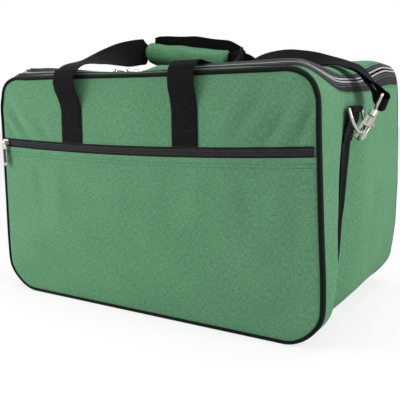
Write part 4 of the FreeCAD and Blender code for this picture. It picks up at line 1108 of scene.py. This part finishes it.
# %% Strap over the lid
# Places along the strap and their heights.
STRAP_SPOTS = np.array([
    (252.5, 332.4), (236, 338.5), (206, 343.5), (176, 349.2), (150, 352.0), (124, 350.0), (100, 344.4),
    (84, 340.4), (68, 336.6), (40, 333.8), (0, 333.6), (-100, 333.6), (-214, 334.4), (-252.5, 332.4)])
STRAP_TILT, STRAP_SKEW, LID_STRAP = np.radians(36), -17 / 251, 1.8
spots = points_at(STRAP_SPOTS[:, 0], STRAP_SPOTS[:, 0] * STRAP_SKEW, STRAP_SPOTS[:, 1])
path = curve(spots, 240)
on_lid = (1 - ramp(path[:, :1], 40, 110)) * ramp(path[:, :1], -250, -215)
path = path * (1 - on_lid) + settle(path) * on_lid
lean = STRAP_TILT * ramp(path[:, :1], 64, 112) * (1 - 0.65 * ramp(path[:, :1], 190, 240))
ahead = unit(np.gradient(path, axis=0))
level = unit(np.cross(np.cross(ahead, Y_WAY), ahead))
above = np.cross(ahead, level)
across = level * np.cos(lean) + above * np.sin(lean) * np.sign(above[:, 2:])
strap_grid = ribbon(path, across, np.cross(ahead, across), STRAP_WIDTH, LID_STRAP)
piece("shoulder_strap_web", [patch(strap_grid, True)], [shaded_strap_web], "lid", ["shoulder_strap"],
      closed=True)

# %% [markdown]
# ## Metal and plastic fittings
#
# The rings, hooks, sliders and pulls are castings and bent wire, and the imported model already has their
# shapes. They keep their meshes and only get a finish.

# %% Finishes of the fittings
fittings = {
    nickel: ["d_ring", "snap_hook", "hook_bolt", "hook_eye", "main_slider", "main_pull", "pocket_slider",
             "pocket_pull"],
    wire: ["bolt_spring"],
    rubber: ["insert"],
    acetal: ["strap_adjuster", "base_board"],
}
finished = 0
for finish, stems in fittings.items():
    for name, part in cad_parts.items():
        if any(stem in name for stem in stems):
            part.data.materials.clear()
            part.data.materials.append(finish)
            finished += 1
print("fittings finished:", finished)

# %% [markdown]
# ## Studio
#
# A pale floor, a soft light from each side and a bright surround. What the camera sees of the floor is
# mostly plain white with a trace of the shadow in it, as in a product photograph.

# %% Floor, surround and lamps
FLOOR_HALF, WHITE = 4.0, (1.0, 1.0, 1.0, 1.0)


def background_rays(tree):
    """Node that is 1 for rays which show the background: from the camera, or by way of gloss or glass."""
    rays = add(tree, "ShaderNodeLightPath")
    seen = add(tree, "ShaderNodeMath", {0: (rays, "Is Camera Ray"), 1: (rays, "Is Glossy Ray")},
               operation="MAXIMUM")
    return add(tree, "ShaderNodeMath", {0: (seen, "Value"), 1: (rays, "Is Transmission Ray")},
               operation="MAXIMUM")


floor_mesh = bpy.data.meshes.new("floor")
corners = np.array([(-1, -1, 0), (1, -1, 0), (1, 1, 0), (-1, 1, 0)]) * FLOOR_HALF
floor_mesh.from_pydata(corners.tolist(), [], [(0, 1, 2, 3)])
floor = bpy.data.objects.new("floor", floor_mesh)
bpy.context.scene.collection.objects.link(floor)
floor_paint, tree, out = blank("white_floor")
share = add(tree, "ShaderNodeMath", {0: (background_rays(tree), "Value"), 1: 0.6}, operation="MULTIPLY")
matt = add(tree, "ShaderNodeBsdfDiffuse", {"Color": linear("#F4F4F4")})
glow = add(tree, "ShaderNodeEmission", {"Color": WHITE, "Strength": 1.2})
mixed = add(tree, "ShaderNodeMixShader", {0: (share, "Value"), 1: (matt, "BSDF"), 2: (glow, "Emission")})
tree.links.new(mixed.outputs["Shader"], out.inputs["Surface"])
floor_mesh.materials.append(floor_paint)

world = bpy.data.worlds.new("surround")
bpy.context.scene.world = world
world.use_nodes = True
tree = world.node_tree
tree.nodes.clear()
out = tree.nodes.new("ShaderNodeOutputWorld")
ambient = add(tree, "ShaderNodeBackground", {"Color": WHITE, "Strength": 0.31})
white = add(tree, "ShaderNodeBackground", {"Color": WHITE, "Strength": 1.0})
mixed = add(tree, "ShaderNodeMixShader", {0: (background_rays(tree), "Value"), 1: (ambient, "Background"),
                                          2: (white, "Background")})
tree.links.new(mixed.outputs["Shader"], out.inputs["Surface"])


def lamp(name, place, aim, size, power):
    """Square area lamp at a place, turned towards a point, in metres and watts."""
    data = bpy.data.lights.new(name, "AREA")
    data.size = size
    data.energy = power
    made = bpy.data.objects.new(name, data)
    bpy.context.scene.collection.objects.link(made)
    back = unit(np.array(place) - np.array(aim))
    across = unit(np.cross(Z_WAY, back))
    turn = np.eye(4)
    turn[:3, 0], turn[:3, 1], turn[:3, 2], turn[:3, 3] = across, np.cross(back, across), back, place
    made.matrix_world = Matrix(turn.tolist())


lamp("left_front", (-0.95, -0.85, 0.55), (-0.1, -0.1, 0.16), 0.7, 7.8)
lamp("right", (2.2, -0.2, 1.3), (0.2, 0.0, 0.15), 1.2, 26)
lamp("above", (0.1, 0.4, 2.4), (0.0, 0.0, 0.2), 1.6, 15)
bpy.context.scene.view_settings.view_transform = "Standard"
print("lamps:", len(bpy.data.lights))
